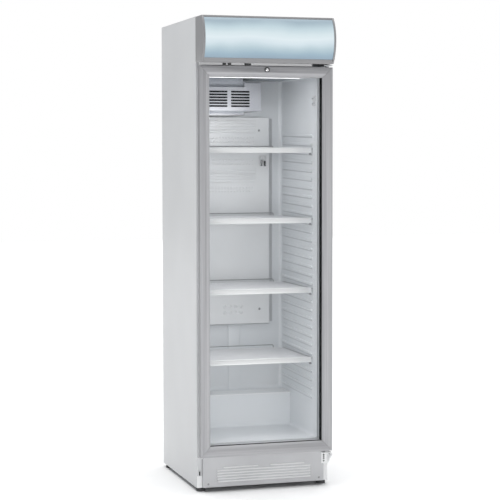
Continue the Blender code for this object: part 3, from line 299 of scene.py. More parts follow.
    @staticmethod
    def apply(piece: Thing) -> None:
        """Applies every modifier on a piece."""
        Bench.take(piece)
        for modifier in list(piece.modifiers):
            bpy.ops.object.modifier_apply(modifier=modifier.name)

    @staticmethod
    def smooth(piece: Thing, angle: float = 35.0) -> Thing:
        """Shades a piece smooth, except at edges sharper than an angle in degrees."""
        Bench.take(piece)
        bpy.ops.object.shade_smooth_by_angle(angle=math.radians(angle))
        return piece

    @staticmethod
    def round_edges(piece: Thing, wanted: EdgeTest, radius: float, segments: int = 4) -> Thing:
        """Rounds the edges of a piece that pass a test.

        Args:
            piece: The mesh.
            wanted: The test for an edge.
            radius: How far the rounding reaches from the edge.
            segments: How many faces it has.

        Returns:
            The same piece.
        """
        with Bench.editing(piece):
            Bench.pick_edges(piece, wanted)
            bpy.ops.mesh.bevel(offset=radius, segments=segments, affect="EDGES", clamp_overlap=True)
        return Bench.smooth(piece)

    @staticmethod
    def soften(piece: Thing, radius: float, segments: int = 2, angle: float = 40.0) -> Thing:
        """Rounds every edge of a piece that is sharper than an angle in degrees."""
        rounding = piece.modifiers.new("rounding", "BEVEL")
        rounding.width = radius
        rounding.segments = segments
        rounding.limit_method = "ANGLE"
        rounding.angle_limit = math.radians(angle)
        Bench.apply(piece)
        return Bench.smooth(piece)

    @staticmethod
    def repeat(piece: Thing, count: int, step: Sequence[float]) -> Thing:
        """Repeats a piece in a row, inside its own mesh."""
        row = piece.modifiers.new("row", "ARRAY")
        row.count = count
        row.use_relative_offset = False
        row.use_constant_offset = True
        row.constant_offset_displace = step
        Bench.apply(piece)
        return piece

    @staticmethod
    def carve(piece: Thing, tool: Thing) -> Thing:
        """Cuts a tool's shape out of a piece and throws the tool away."""
        cut = piece.modifiers.new("cut", "BOOLEAN")
        cut.operation = "DIFFERENCE"
        cut.solver = "EXACT"
        cut.object = tool
        Bench.apply(piece)
        bpy.data.objects.remove(tool)
        return piece

    @staticmethod
    def weld(name: str, *pieces: Thing) -> Thing:
        """Joins pieces of one finish into one object."""
        Bench.take(*pieces)
        bpy.ops.object.join()
        return Bench.named(name)


class Grain(Enum):
    """How far a finish's pattern is drawn out along X, Y and Z."""

    EVEN = (1.0, 1.0, 1.0)
    ALONG_X = (0.012, 1.0, 1.0)
    ALONG_Y = (1.0, 0.012, 1.0)
    ALONG_Z = (1.0, 1.0, 0.012)


class Figure(Enum):
    """The texture that a finish's tone follows."""

    CLOUD = "ShaderNodeTexNoise"
    SPANGLE = "ShaderNodeTexVoronoi"


class Wiring:
    """Adds nodes to one material and joins them."""

    def __init__(self, name: str) -> None:
        """Starts a material of this name with its shader and object coordinates."""
        self.material = bpy.data.materials.new(name)
        self.material.use_nodes = True
        self.tree = self.material.node_tree
        self.shader = self.tree.nodes["Principled BSDF"]
        self.place = self.add("ShaderNodeTexCoord").outputs["Object"]

    def add(self, kind: str, **inputs: Any) -> bpy.types.Node:
        """Adds a node.

        Args:
            kind: The node's type.
            inputs: Values or sockets for its inputs, by name with underscores for spaces.

        Returns:
            The node.
        """
        node = self.tree.nodes.new(kind)
        for key, value in inputs.items():
            self.set(node, key.replace("_", " "), value)
        return node

    def set(self, node: bpy.types.Node, name: str, value: Any) -> None:
        """Gives an input a value, or joins a socket to it."""
        if isinstance(value, bpy.types.NodeSocket):
            self.tree.links.new(value, node.inputs[name])
        else:
            node.inputs[name].default_value = value

    def stretched(self, scale: Triple) -> bpy.types.NodeSocket:
        """Object coordinates scaled along each axis."""
        return self.add("ShaderNodeMapping", Vector=self.place, Scale=scale).outputs["Vector"]

    def ramp(self, factor: bpy.types.NodeSocket, *stops: tuple[float, Colour]) -> bpy.types.NodeSocket:
        """Turns a factor into colours.

        Args:
            factor: The socket that drives the ramp.
            stops: Places from 0 to 1 with their colours.

        Returns:
            The ramp's colour.
        """
        node = self.add("ShaderNodeValToRGB", Fac=factor)
        elements = node.color_ramp.elements
        for _ in range(len(stops) - len(elements)):
            elements.new(0.5)
        for element, (place, colour) in zip(elements, stops):
            element.position = place
            element.color = (*colour, 1.0)
        return node.outputs["Color"]

    def between(self, factor: bpy.types.NodeSocket, span: Pair, ends: Pair = (0.0, 1.0)) -> bpy.types.NodeSocket:
        """Maps a span of a value onto two ends."""
        node = self.add("ShaderNodeMapRange", Value=factor)
        for name, value in zip(("From Min", "From Max", "To Min", "To Max"), (*span, *ends)):
            self.set(node, name, value)
        return node.outputs["Result"]


@dataclass(frozen=True)
class Finish:
    """A surface: two tones that drift into each other, a range of gloss and a fine relief."""

    name: str
    tones: tuple[Colour, Colour]
    gloss: Pair = (0.32, 0.45)
    metal: float = 0.0
    coat: float = 0.0
    shine: float = 0.5
    grain: Grain = Grain.EVEN
    figure: Figure = Figure.CLOUD
    figure_scale: float = 5.0
    relief_scale: float = 420.0
    relief: float = 0.08

    def material(self) -> bpy.types.Material:
        """The finish's material, made at its first use."""
        return bpy.data.materials.get(self.name) or self.mix()

    def mix(self) -> bpy.types.Material:
        """Wires the material up.

        Returns:
            The new material.
        """
        wiring = Wiring(self.name)
        shader = wiring.shader
        figure = wiring.add(self.figure.value, Scale=self.figure_scale)
        wiring.set(figure, "Vector", wiring.stretched(self.grain.value))
        factor = figure.outputs["Color" if self.figure is Figure.SPANGLE else 0]
        fine = wiring.add("ShaderNodeTexNoise", Scale=self.relief_scale, Detail=3.0)
        wiring.set(fine, "Vector", wiring.stretched(self.grain.value))
        wiring.set(shader, "Base Color", self.colour(wiring, factor))
        wiring.set(shader, "Roughness", wiring.between(fine.outputs[0], (0.3, 0.7), self.gloss))
        bump = wiring.add("ShaderNodeBump", Strength=self.relief, Distance=0.0006, Height=fine.outputs[0])
        wiring.set(shader, "Normal", bump.outputs["Normal"])
        wiring.set(shader, "Metallic", self.metal)
        wiring.set(shader, "Coat Weight", self.coat)
        wiring.set(shader, "Specular IOR Level", self.shine)
        return wiring.material

    def colour(self, wiring: Wiring, factor: bpy.types.NodeSocket) -> bpy.types.NodeSocket:
        """The tone over the surface, from the figure's factor."""
        return wiring.ramp(factor, (0.3, self.tones[0]), (0.7, self.tones[1]))

    def dress(self, *pieces: Thing) -> None:
        """Puts the finish on pieces, over whatever they had."""
        for piece in pieces:
            if not piece.material_slots:
                piece.data.materials.append(self.material())
            for holder in piece.material_slots:
                holder.material = self.material()


@dataclass(frozen=True)
class Glazing(Finish):
    """Clear float glass with a faint tint."""

    opacity: float = 0.03
    shine: float = 0.25

    def mix(self) -> bpy.types.Material:
        """A thin, mostly see-through finish with a hard shine."""
        material = super().mix()
        shader = material.node_tree.nodes["Principled BSDF"]
        shader.inputs["Alpha"].default_value = self.opacity
        return material


@dataclass(frozen=True)
class Lit(Finish):
    """An opal cover lit from behind: colours up its height, brightest where the lamp is near."""

    heights: Pair = (0.0, 1.0)
    stops: tuple[tuple[float, Colour], ...] = ((0.0, (1.0, 1.0, 1.0)), (1.0, (1.0, 1.0, 1.0)))
    strength: float = 1.0
    body: float = 0.10
    patch: float = 0.05

    def colour(self, wiring: Wiring, factor: bpy.types.NodeSocket) -> bpy.types.NodeSocket:
        """Colours by height, moved up and down a little by the figure."""
        height = wiring.add("ShaderNodeSeparateXYZ", Vector=wiring.place).outputs["Z"]
        level = wiring.between(height, self.heights)
        shift = wiring.between(factor, (0.3, 0.7), (-self.patch, self.patch))
        total = wiring.add("ShaderNodeMath")
        wiring.tree.links.new(level, total.inputs[0])
        wiring.tree.links.new(shift, total.inputs[1])
        tone = wiring.ramp(total.outputs[0], *self.stops)
        wiring.set(wiring.shader, "Emission Color", tone)
        wiring.set(wiring.shader, "Emission Strength", self.strength)
        dull = [(place, tuple(self.body * part for part in colour)) for place, colour in self.stops]
        return wiring.ramp(total.outputs[0], *dull)


WHITE_ENAMEL = Finish(
    "white_enamel",
    ((0.63, 0.64, 0.65), (0.68, 0.69, 0.70)),
    gloss=(0.30, 0.42),
    figure_scale=2.2,
    relief_scale=300.0,
    relief=0.05,
)
BRACKET_ENAMEL = Finish("bracket_enamel", ((0.88, 0.885, 0.89), (0.93, 0.935, 0.94)), figure_scale=30.0)
LINER_PLASTIC = Finish(
    "liner_plastic",
    ((0.83, 0.855, 0.88), (0.87, 0.89, 0.91)),
    gloss=(0.30, 0.44),
    figure_scale=4.0,
    relief_scale=160.0,
    relief=0.02,
)
# A darker copy of the liner plastic: painted shadow under each rib.
RIB_SHADOW_PAINT = replace(LINER_PLASTIC, name="rib_painted_shadow", tones=((0.58, 0.60, 0.62), (0.66, 0.68, 0.70)))
# A lighter copy of the liner plastic: painted highlight on the hump's upward faces.
HUMP_TOP_HIGHLIGHT = replace(LINER_PLASTIC, name="hump_painted_highlight", tones=((0.95, 0.965, 0.975), (0.96, 0.972, 0.98)))
DUCT_PLASTIC = Finish(
    "duct_plastic",
    ((0.80, 0.815, 0.83), (0.84, 0.85, 0.86)),
    gloss=(0.26, 0.38),
    figure_scale=6.0,
    relief_scale=220.0,
)
# A dark grey for the white liner's ceiling: painted shade.
CEILING_SHADE_PAINT = Finish("ceiling_painted_shade", ((0.36, 0.38, 0.42), (0.42, 0.44, 0.48)), figure_scale=5.0)
# A grey far darker than the white liner plastic: painted shade on the cooler's cover and tray.
COVER_SHADE_PAINT = Finish("cover_painted_shade", ((0.33, 0.34, 0.37), (0.40, 0.41, 0.44)), gloss=(0.26, 0.38), figure_scale=9.0)
# A dark grey for screws, and for painted shade: the shelves' stop, side wires and hooks, and the slab under the tray.
SCREW_AND_SHADE_GREY = Finish("screw_and_shade_grey", ((0.28, 0.28, 0.29), (0.38, 0.38, 0.39)), figure_scale=60.0)
COATED_WIRE = Finish(
    "coated_wire", ((0.80, 0.81, 0.83), (0.86, 0.87, 0.88)), gloss=(0.24, 0.36), figure_scale=25.0
)
# A darker copy of the coated wire: painted shade on the decks.
DECK_WIRE_SHADED = replace(COATED_WIRE, name="deck_wire_painted_shade", tones=((0.74, 0.75, 0.77), (0.79, 0.80, 0.82)))
CONTROL_WHITE = Finish("control_white", ((0.76, 0.76, 0.77), (0.81, 0.81, 0.82)), figure_scale=20.0)
STRIP_WHITE = replace(CONTROL_WHITE, name="strip_white", tones=((0.58, 0.58, 0.59), (0.64, 0.64, 0.65)))
FRAME_UPRIGHT = Finish(
    "frame_aluminium_upright",
    ((0.38, 0.38, 0.395), (0.48, 0.48, 0.495)),
    gloss=(0.42, 0.58),
    metal=0.35,
    grain=Grain.ALONG_Z,
    figure_scale=160.0,
    relief_scale=900.0,
    relief=0.12,
)
FRAME_LEVEL = Finish(
    "frame_aluminium_level",
    ((0.375, 0.375, 0.39), (0.465, 0.465, 0.48)),
    gloss=(0.42, 0.58),
    metal=0.35,
    grain=Grain.ALONG_X,
    figure_scale=160.0,
    relief_scale=900.0,
    relief=0.12,
)
# A darker copy of the upright aluminium: painted shade on the stile's outer side face.
FRAME_SIDE_SHADED = replace(FRAME_UPRIGHT, name="frame_side_painted_shade", tones=((0.27, 0.27, 0.285), (0.35, 0.35, 0.365)))
# A lighter copy of the upright aluminium: painted highlight on the stile's sloping bead faces.
FRAME_UPRIGHT_BEAD_LIT = replace(
    FRAME_UPRIGHT, name="frame_upright_bead_painted_light", tones=((0.47, 0.47, 0.485), (0.57, 0.57, 0.585))
)
# A darker copy of the frame aluminium: painted shade on the top rail, under the canopy.
FRAME_HEAD_SHADED = replace(
    FRAME_LEVEL, name="frame_head_painted_shade", tones=((0.25, 0.25, 0.262), (0.32, 0.32, 0.332))
)
KICK_SILVER = Finish(
    "kick_silver",
    ((0.565, 0.57, 0.585), (0.625, 0.63, 0.645)),
    gloss=(0.38, 0.5),
    figure_scale=7.0,
    relief_scale=700.0,
)
# Lighter than the top rail's finish: a painted highlight on its bead, still within the rail's painted shade.
FRAME_HEAD_BEAD_LIT = replace(
    FRAME_HEAD_SHADED, name="frame_head_bead_painted_light", tones=((0.37, 0.37, 0.385), (0.46, 0.46, 0.475))
)
# A lighter copy of the kick's silver: painted highlight on the louvre hoods' tops.
HOOD_HIGHLIGHT_SILVER = replace(KICK_SILVER, name="hood_painted_highlight", tones=((0.86, 0.865, 0.875), (0.92, 0.925, 0.935)))
LINING_GREY = Finish("lining_grey", ((0.70, 0.71, 0.73), (0.76, 0.77, 0.79)), figure_scale=18.0)
CANOPY_GREY = Finish(
    "canopy_grey",
    ((0.20, 0.207, 0.217), (0.24, 0.247, 0.257)),
    gloss=(0.40, 0.55),
    figure_scale=10.0,
    relief_scale=1100.0,
    relief=0.15,
)
BLACK_PLASTIC = Finish("black_plastic", ((0.012, 0.012, 0.013), (0.022, 0.022, 0.024)), gloss=(0.4, 0.55))
FOOT_RUBBER = Finish("foot_rubber", ((0.06, 0.06, 0.063), (0.10, 0.10, 0.104)), gloss=(0.28, 0.42), relief=0.2)
GASKET_GREY = Finish("gasket_grey", ((0.52, 0.525, 0.53), (0.58, 0.585, 0.59)), gloss=(0.5, 0.65), relief=0.15)
# A grey for the painted shadow strips beside and under the duct, and for the wall clip's wire.
SHADOW_AND_WIRE_GREY = Finish("shadow_and_wire_grey", ((0.54, 0.55, 0.57), (0.62, 0.63, 0.65)), gloss=(0.6, 0.8), figure_scale=14.0)
# Near black with little shine: the door glass's black edge seal, and painted shade behind the cooler's slots.
BLACK_SEAL_AND_SHADE = Finish("black_seal_and_painted_shade", ((0.008, 0.008, 0.009), (0.014, 0.014, 0.015)), gloss=(0.6, 0.8), shine=0.05)
CHROME = Finish("chrome", ((0.80, 0.80, 0.82), (0.88, 0.88, 0.90)), gloss=(0.10, 0.20), metal=1.0, figure_scale=60.0)
ZINC = Finish(
    "zinc_plate",
    ((0.50, 0.51, 0.53), (0.68, 0.69, 0.71)),
    gloss=(0.32, 0.48),
    metal=0.9,
    figure=Figure.SPANGLE,
    figure_scale=130.0,
)
FIN_ALUMINIUM = Finish(
    "fin_aluminium",
    ((0.55, 0.56, 0.58), (0.72, 0.73, 0.75)),
    metal=0.9,
    grain=Grain.ALONG_Z,
    figure_scale=420.0,
    relief_scale=900.0,
    relief=0.3,
)
COPPER = Finish("copper_tube", ((0.50, 0.24, 0.13), (0.74, 0.40, 0.24)), gloss=(0.22, 0.40), metal=1.0, figure_scale=40.0)
BLACK_ENAMEL = Finish("black_enamel", ((0.018, 0.018, 0.018), (0.03, 0.03, 0.03)), gloss=(0.22, 0.36), coat=0.2)
FOAM = Finish(
    "rigid_foam",
    ((0.72, 0.62, 0.38), (0.86, 0.78, 0.55)),
    gloss=(0.8, 0.95),
    figure=Figure.SPANGLE,
    figure_scale=260.0,
    relief=0.4,
)
DISPLAY = Finish("display_window", ((0.010, 0.011, 0.014), (0.02, 0.02, 0.024)), gloss=(0.06, 0.12), coat=0.6)
GLASS = Glazing("door_glass", ((0.04, 0.06, 0.06), (0.06, 0.08, 0.08)), gloss=(0.01, 0.03), relief=0.0)
CANOPY_OPAL = Lit(
    "canopy_opal",
    ((0.5, 0.5, 0.5), (0.5, 0.5, 0.5)),
    gloss=(0.25, 0.36),
    figure_scale=5.0,
    heights=(1.852, 2.020),
    stops=(
        (0.03, (0.275, 0.372, 0.460)),
        (0.13, (0.315, 0.440, 0.530)),
        (0.28, (0.455, 0.580, 0.640)),
        (0.43, (0.655, 0.760, 0.815)),
        (0.54, (0.745, 0.839, 0.880)),
        (0.67, (0.680, 0.791, 0.831)),
        (0.82, (0.539, 0.665, 0.723)),
        (0.98, (0.345, 0.445, 0.515)),
    ),
    strength=0.90,
)
LAMP_OPAL = Lit("lamp_opal", ((0.9, 0.9, 0.9), (0.9, 0.9, 0.9)), strength=1.25, body=0.8)


def settle(piece: Thing, finish: Finish, body: str, slot: str, *stands_for: str) -> Thing:
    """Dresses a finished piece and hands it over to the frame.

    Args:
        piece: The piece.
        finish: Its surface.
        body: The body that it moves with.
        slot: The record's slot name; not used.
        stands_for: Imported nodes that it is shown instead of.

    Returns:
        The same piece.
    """
    finish.dress(piece)
    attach(piece, body)
    if stands_for:
        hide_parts(*stands_for)
    LOG.info("%s rides on %s, %d faces", piece.name, body, len(piece.data.polygons))
    return piece


def dress_faces(piece: Thing, wanted: PolygonTest, finish: Finish) -> None:
    """Gives some faces of a dressed piece another finish.

    Args:
        piece: The piece.
        wanted: The test that the faces pass.
        finish: The finish that they get.
    """
    piece.data.materials.append(finish.material())
    place = len(piece.data.materials) - 1
    for face in piece.data.polygons:
        if wanted(face):
            face.material_index = place


def along(axis: Axis, *pair: float) -> EdgeTest:
    """A test for edges that run along an axis through a pair of values on the other two."""
    others = [other.value for other in Axis if other is not axis]

    def test(edge: bmesh.types.BMEdge) -> bool:
        """Whether both ends of the edge lie on the line."""
        ends = (edge.verts[0].co, edge.verts[1].co)
        return all(abs(end[other] - value) < 2e-4 for end in ends for other, value in zip(others, pair))

    return test


def facing(axis: Axis, sign: int) -> FaceTest:
    """A test for faces that look along an axis, forwards or backwards."""
    return lambda face: face.normal[axis.value] * sign > 0.95


@dataclass
class Screws:
    """Cross-headed screws, turned once and copied to their places."""

    radius: float = 0.004
    dome: float = 0.0016
    recess: float = 0.0009

    def row(self, name: str, places: Sequence[Triple], axis: Axis, sign: int) -> Thing:
        """Sets screws with their heads facing one way.

        Args:
            name: The joined piece's name.
            places: The middle of each head's seat.
            axis: The axis that the heads face along.
            sign: Which way along it.

        Returns:
            All the screws as one piece.
        """
        profile = [
            (0.0, -self.dome * sign),
            (self.radius * 0.8, -self.dome * sign),
            (self.radius, 0.0),
            (self.radius * 0.8, self.dome * 0.75 * sign),
            (self.radius * 0.4, self.dome * sign),
            (0.0, self.dome * sign),
        ]
        heads = []
        for number, place in enumerate(places):
            head = Bench.lathe(f"{name}_{number}", profile, place, axis, steps=16)
            top = Vector(place) + axis.vector(self.dome * sign)
            others = [other for other in Axis if other is not axis]
            for long_way in others:
                reach = Vector((self.recess / 2,) * 3)
                reach[long_way.value] = self.radius * 0.6
                Bench.carve(head, Bench.cuboid("cross", top - reach, top + reach))
            heads.append(Bench.smooth(head))
        return Bench.weld(name, *heads)


@dataclass
class Cabinet:
    """The outside: two folded side panels, the top, and a pressed back with vents and screws."""

    skin: float = 0.0015
    fold: float = 0.003
    back_set: float = 0.0016
    back_rim: float = 0.024
    back_slope: float = 0.006
    back_press: float = 0.004
    foam_clear: float = 0.008
    vent_size: Pair = (0.180, 0.006)
    vent_middle: float = 0.130
    vent_low: float = 0.150
    vent_pitch: float = 0.016
    vent_rows: int = 8
    swage_size: Triple = (0.42, 0.004, 0.016)
    swage_low: float = 0.46
    swage_pitch: float = 0.32
    swages: int = 5

    def build(self) -> None:
        """Builds and dresses the outside."""
        for side in ("left", "right"):
            self.side_panel(f"{side}_side_panel")
        top = Bench.soften(Bench.copy_of("top_panel", "top_panel_folded"), 0.0006)
        settle(top, WHITE_ENAMEL, "cabinet", "white_steel", "top_panel")
        self.back()
        ZINC.dress(frame["nodes"]["base_tray"])
        self.foam()
        gland = Bench.soften(Bench.copy_of("power_gland", "cord_bush"), 0.0008)
        settle(gland, BLACK_PLASTIC, "cabinet", "black_plastic", "power_gland")

    def foam(self) -> None:
        """Draws the foam's rear face in, clear of the pressed back."""
        core = Bench.copy_of("insulation_foam", "foam_core")
        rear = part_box("insulation_foam")[1].y
        with Bench.editing(core):
            Bench.pick_faces(core, lambda face: all(corner.co.y > rear - 1e-4 for corner in face.verts))
            bpy.ops.transform.translate(value=(0, -self.foam_clear, 0))
        settle(core, FOAM, "cabinet", "foam", "insulation_foam")

    def side_panel(self, node: str) -> None:
        """Rounds the fold between a side and its front return."""
        low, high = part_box(node)
        outer, inward = (low.x, 1) if low.x < 0 else (high.x, -1)
        piece = Bench.copy_of(node, f"{node}_folded")
        inner = outer + inward * self.skin
        Bench.round_edges(piece, along(Axis.Z, outer, low.y), self.fold)
        Bench.round_edges(piece, along(Axis.Z, inner, low.y + self.skin), self.fold - self.skin)
        settle(piece, WHITE_ENAMEL, "cabinet", "white_steel", node)

    def back(self) -> None:
        """Presses the back panel inwards inside a flat rim, and adds its vents, swages and screws."""
        low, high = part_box("back_panel")
        face = high.y - self.back_set
        panel = Bench.cuboid("back_panel_pressed", (low.x, face - self.skin, low.z), (high.x, face, high.z))
        with Bench.editing(panel):
            for sign in (1, -1):
                Bench.pick_faces(panel, facing(Axis.Y, sign))
                bpy.ops.mesh.inset(thickness=self.back_rim)
                bpy.ops.mesh.inset(thickness=self.back_slope)
                bpy.ops.transform.translate(value=(0, -self.back_press, 0))
        field = face - self.back_press
        width, height = self.vent_size
        start = (-self.vent_middle - width / 2, field - 0.006, self.vent_low)
        end = (-self.vent_middle + width / 2, field + 0.006, self.vent_low + height)
        vents = Bench.cuboid("vents", start, end)
        Bench.repeat(vents, self.vent_rows, (0, 0, self.vent_pitch))
        Bench.repeat(vents, 2, (2 * self.vent_middle, 0, 0))
        Bench.carve(panel, vents)
        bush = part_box("power_gland")
        middle = (bush[0] + bush[1]) / 2
        hole = (bush[1].x - bush[0].x) / 2 + 0.002
        ring = [(0.0, -0.01), (hole, -0.01), (hole, 0.01), (0.0, 0.01)]
        Bench.carve(panel, Bench.lathe("bush_hole", ring, (middle.x, field, middle.z), Axis.Y, 24))
        long, proud, tall = self.swage_size
        swage = Bench.cuboid(
            "swage", (-long / 2, field - 0.001, self.swage_low), (long / 2, field + proud - 0.001, self.swage_low + tall)
        )
        Bench.round_edges(swage, lambda edge: abs((edge.verts[0].co - edge.verts[1].co).y) > 1e-4, tall * 0.49, 6)
        Bench.soften(swage, proud * 0.7, 3)
        Bench.repeat(swage, self.swages, (0, 0, self.swage_pitch))
        panel = Bench.weld("back_panel_pressed", Bench.smooth(panel), swage)
        settle(panel, WHITE_ENAMEL, "cabinet", "white_steel", "back_panel")
        edge = high.x - self.back_rim / 2
        levels = [low.z + 0.03 + step * (high.z - low.z - 0.06) / 5 for step in range(6)]
        places = [(side * edge, face, level) for level in levels for side in (-1, 1)]
        screws = Screws().row("back_screws", places, Axis.Y, 1)
        settle(screws, ZINC, "cabinet", "zinc_steel")


@dataclass
class Canopy:
    """The curved sign box over the door: end caps, housing, opal front and its lamp."""

    cap: float = 0.012
    cap_dish: float = 0.004
    bulge: float = 0.034
    lower_trim: float = 0.0183
    upper_trim: float = 0.0093
    inset: float = 0.003
    sheet: float = 0.0025
    steps: int = 48
    screw: float = 0.003

    def arc(self, inset: float, lower: float = 0.0, upper: float = 0.0) -> list[Pair]:
        """Points up the curved front.

        Args:
            inset: How far behind the caps' edge the curve runs.
            lower: How far it starts above the lower edge.
            upper: How far it ends short of the upper edge.

        Returns:
            Pairs of Y and Z from the lower edge to the upper.
        """
        low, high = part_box("canopy_end_cap_left")
        rise = (high.z - low.z) / 2
        radius = (rise**2 + self.bulge**2) / (2 * self.bulge)
        centre = (low.y + radius, (low.z + high.z) / 2)
        radius -= inset
        first = -math.asin((rise - lower) / radius)
        last = math.asin((rise - upper) / radius)
        angles = [first + (last - first) * step / self.steps for step in range(self.steps + 1)]
        return [(centre[0] - radius * math.cos(a), centre[1] + radius * math.sin(a)) for a in angles]

    def build(self) -> None:
        """Builds and dresses the canopy."""
        for side in ("left", "right"):
            self.end_cap(f"canopy_end_cap_{side}")
        low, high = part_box("canopy_diffuser")
        margins = (self.lower_trim, self.upper_trim)
        outline = self.arc(self.inset, *margins) + self.arc(self.inset + self.sheet, *margins)[::-1]
        front = Bench.plate("canopy_opal_front", outline, Axis.X, low.x, high.x)
        settle(Bench.smooth(front), CANOPY_OPAL, "cabinet", "diffuser", "canopy_diffuser")
        housing = Bench.soften(Bench.copy_of("canopy_housing", "canopy_trims"), 0.0006)
        settle(housing, CANOPY_GREY, "cabinet", "canopy_grey", "canopy_housing")
        tube = Bench.smooth(Bench.copy_of("canopy_lamp", "canopy_tube"), 45)
        settle(tube, LAMP_OPAL, "cabinet", "lamp", "canopy_lamp")

    def end_cap(self, node: str) -> None:
        """A moulded cap whose outer face stands dished out from its curved edge."""
        low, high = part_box(node)
        back = high.y
        outline = [(back, low.z), *self.arc(0.0), (back, high.z)]
        inner, outer = (high.x, low.x) if low.x < 0 else (low.x, high.x)
        side = 1 if outer > inner else -1
        rim = outer - side * self.cap_dish
        cap = Bench.plate(f"{node}_moulded", outline, Axis.X, inner, rim)
        with Bench.editing(cap):
            Bench.pick_faces(cap, facing(Axis.X, side))
            bpy.ops.mesh.extrude_region_move(TRANSFORM_OT_translate={"value": (side * self.cap_dish, 0, 0)})
            bpy.ops.transform.resize(value=(1, 0.9, 0.93), center_override=(outer, back, (low.z + high.z) / 2))
        Bench.soften(cap, 0.0012, 3)
        settle(cap, CANOPY_GREY, "cabinet", "canopy_grey", node)
        place = (rim - side * 0.004, low.y + self.bulge + 0.005, high.z - 0.008)
        plug = [(0.0, -self.screw), (self.screw, -self.screw), (self.screw, self.screw * 0.6), (0.0, self.screw)]
        dot = Bench.lathe(f"{node}_plug", [(r, side * a) for r, a in plug], place, Axis.X, 16)
        settle(Bench.smooth(dot), BLACK_PLASTIC, "cabinet", "black_plastic")


@dataclass
class ControlStrip:
    """The white strip under the canopy with two rockers and a small controller."""

    edge: float = 0.0008
    window_inset: float = 0.0016

    def build(self) -> None:
        """Builds and dresses the strip and its controls."""
        strip = Bench.soften(Bench.copy_of("control_strip", "switch_strip"), self.edge)
        settle(strip, STRIP_WHITE, "cabinet", "control_white", "control_strip")
        for node, body in (("power_switch", "power_rocker"), ("light_switch", "light_rocker")):
            rocker = Bench.soften(Bench.copy_of(node, f"{node}_cap"), 0.0012, 3)
            settle(rocker, BLACK_PLASTIC, body, "black_plastic", node)
        for node, body in (("controller_up_button", "up_key"), ("controller_down_button", "down_key")):
            key = Bench.soften(Bench.copy_of(node, f"{node}_cap"), 0.0009, 3)
            settle(key, CONTROL_WHITE, body, "control_white", node)
        self.controller()

    def controller(self) -> None:
        """The controller's body with a sunken display window."""
        piece = Bench.copy_of("temperature_controller", "controller_body")
        with Bench.editing(piece):
            Bench.pick_faces(piece, facing(Axis.Y, -1))
            bpy.ops.mesh.inset(thickness=self.window_inset)
            bpy.ops.transform.translate(value=(0, self.edge, 0))
        settle(Bench.soften(piece, 0.0004), DISPLAY, "cabinet", "black_plastic", "temperature_controller")


@dataclass
class Door:
    """The glazed door: brushed frame, panes, spacer, lining, gasket and key lock."""

    frame_edge: float = 0.0024
    rim_reach: Pair = (-0.2862, -0.2600)
    rim_wall: float = 0.0012
    lock_radius: float = 0.011
    lock_bore: float = 0.0074
    lock_proud: float = 0.003

    def build(self) -> None:
        """Builds and dresses the door."""
        # The top rail takes a darker finish: painted shade under the canopy.
        members = {
            "door_left_stile": FRAME_UPRIGHT,
            "door_right_stile": FRAME_UPRIGHT,
            "door_top_rail": FRAME_HEAD_SHADED,
            "door_bottom_rail": FRAME_LEVEL,
        }
        for node, finish in members.items():
            member = Bench.soften(Bench.copy_of(node, f"{node}_extrusion"), self.frame_edge, 3)
            settle(member, finish, "door", "silver_frame", node)
            if node == "door_left_stile":
                # Painted highlight on the left stile's sloping bead faces.
                self.paint_bead_light(member, Vector((1, 0, 0)), FRAME_UPRIGHT_BEAD_LIT)
                self.paint_bead_light(member, Vector((-1, 0, 0)), FRAME_UPRIGHT_BEAD_LIT)
                # Painted shade: the stile's outer side face takes a darker finish.
                dress_faces(member, lambda face: face.normal.x < -0.9, FRAME_SIDE_SHADED)
            if node == "door_top_rail":
                # Painted highlight on the top rail's bead.
                self.paint_bead_light(member, Vector((0, 0, -1)), FRAME_HEAD_BEAD_LIT)
        lining = Bench.soften(Bench.copy_of("door_lining", "door_inner_lining"), 0.001)
        settle(lining, LINING_GREY, "door", "silver_plastic", "door_lining")
        gasket = Bench.soften(Bench.copy_of("door_gasket", "door_seal"), 0.0045, 4)
        settle(gasket, GASKET_GREY, "door", "grey_rubber", "door_gasket")
        GLASS.dress(frame["nodes"]["outer_pane"], frame["nodes"]["inner_pane"])
        BLACK_PLASTIC.dress(frame["nodes"]["glazing_spacer"])
        self.rim()
        self.lock()

    def paint_bead_light(self, member: Thing, way: Vector, finish: Finish) -> None:
        """Paints a highlight on a frame member's sloping front faces with a brighter finish.

        Args:
            member: The frame member.
            way: The direction that the faces slope towards.
            finish: The finish that they get.
        """
        dress_faces(member, lambda face: face.normal.dot(way) > 0.3 and face.normal.y < -0.3, finish)

    def rim(self) -> None:
        """The black strips that seal both sides of the glass, behind the frame's inner edge."""
        left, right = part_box("door_left_stile"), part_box("door_right_stile")
        rail = left[1].x - left[0].x
        near, far = self.rim_reach
        strips = []
        for edge, side in ((left[1].x, 1), (right[0].x, -1)):
            start, end = sorted((edge - side * self.rim_wall, edge + side * self.rim_wall))
            strip = Bench.cuboid("strip", (start, near, left[0].z + rail), (end, far, left[1].z - rail))
            strips.append(Bench.soften(strip, self.rim_wall / 4))
        seal = Bench.weld("glass_edge_seal", *strips)
        settle(seal, BLACK_SEAL_AND_SHADE, "door", "black_plastic")

    def lock(self) -> None:
        """The lock's turned bezel and its keyed core."""
        low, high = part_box("lock_bezel")
        centre = ((low.x + high.x) / 2, high.y, (low.z + high.z) / 2)
        proud, outer, bore = self.lock_proud, self.lock_radius, self.lock_bore
        profile = [
            (bore, 0.0),
            (outer, 0.0),
            (outer, -proud * 0.55),
            (outer * 0.93, -proud * 0.85),
            (outer * 0.84, -proud * 0.9),
            (outer * 0.76, -proud * 0.75),
            (bore, -proud * 0.6),
        ]
        bezel = Bench.smooth(Bench.lathe("lock_ring", profile, centre, Axis.Y, 40))
        settle(bezel, BLACK_PLASTIC, "door", "black_plastic", "lock_bezel")
        core = Bench.soften(Bench.copy_of("lock_cylinder", "lock_core"), 0.0004)
        settle(core, CHROME, "lock", "chrome", "lock_cylinder")


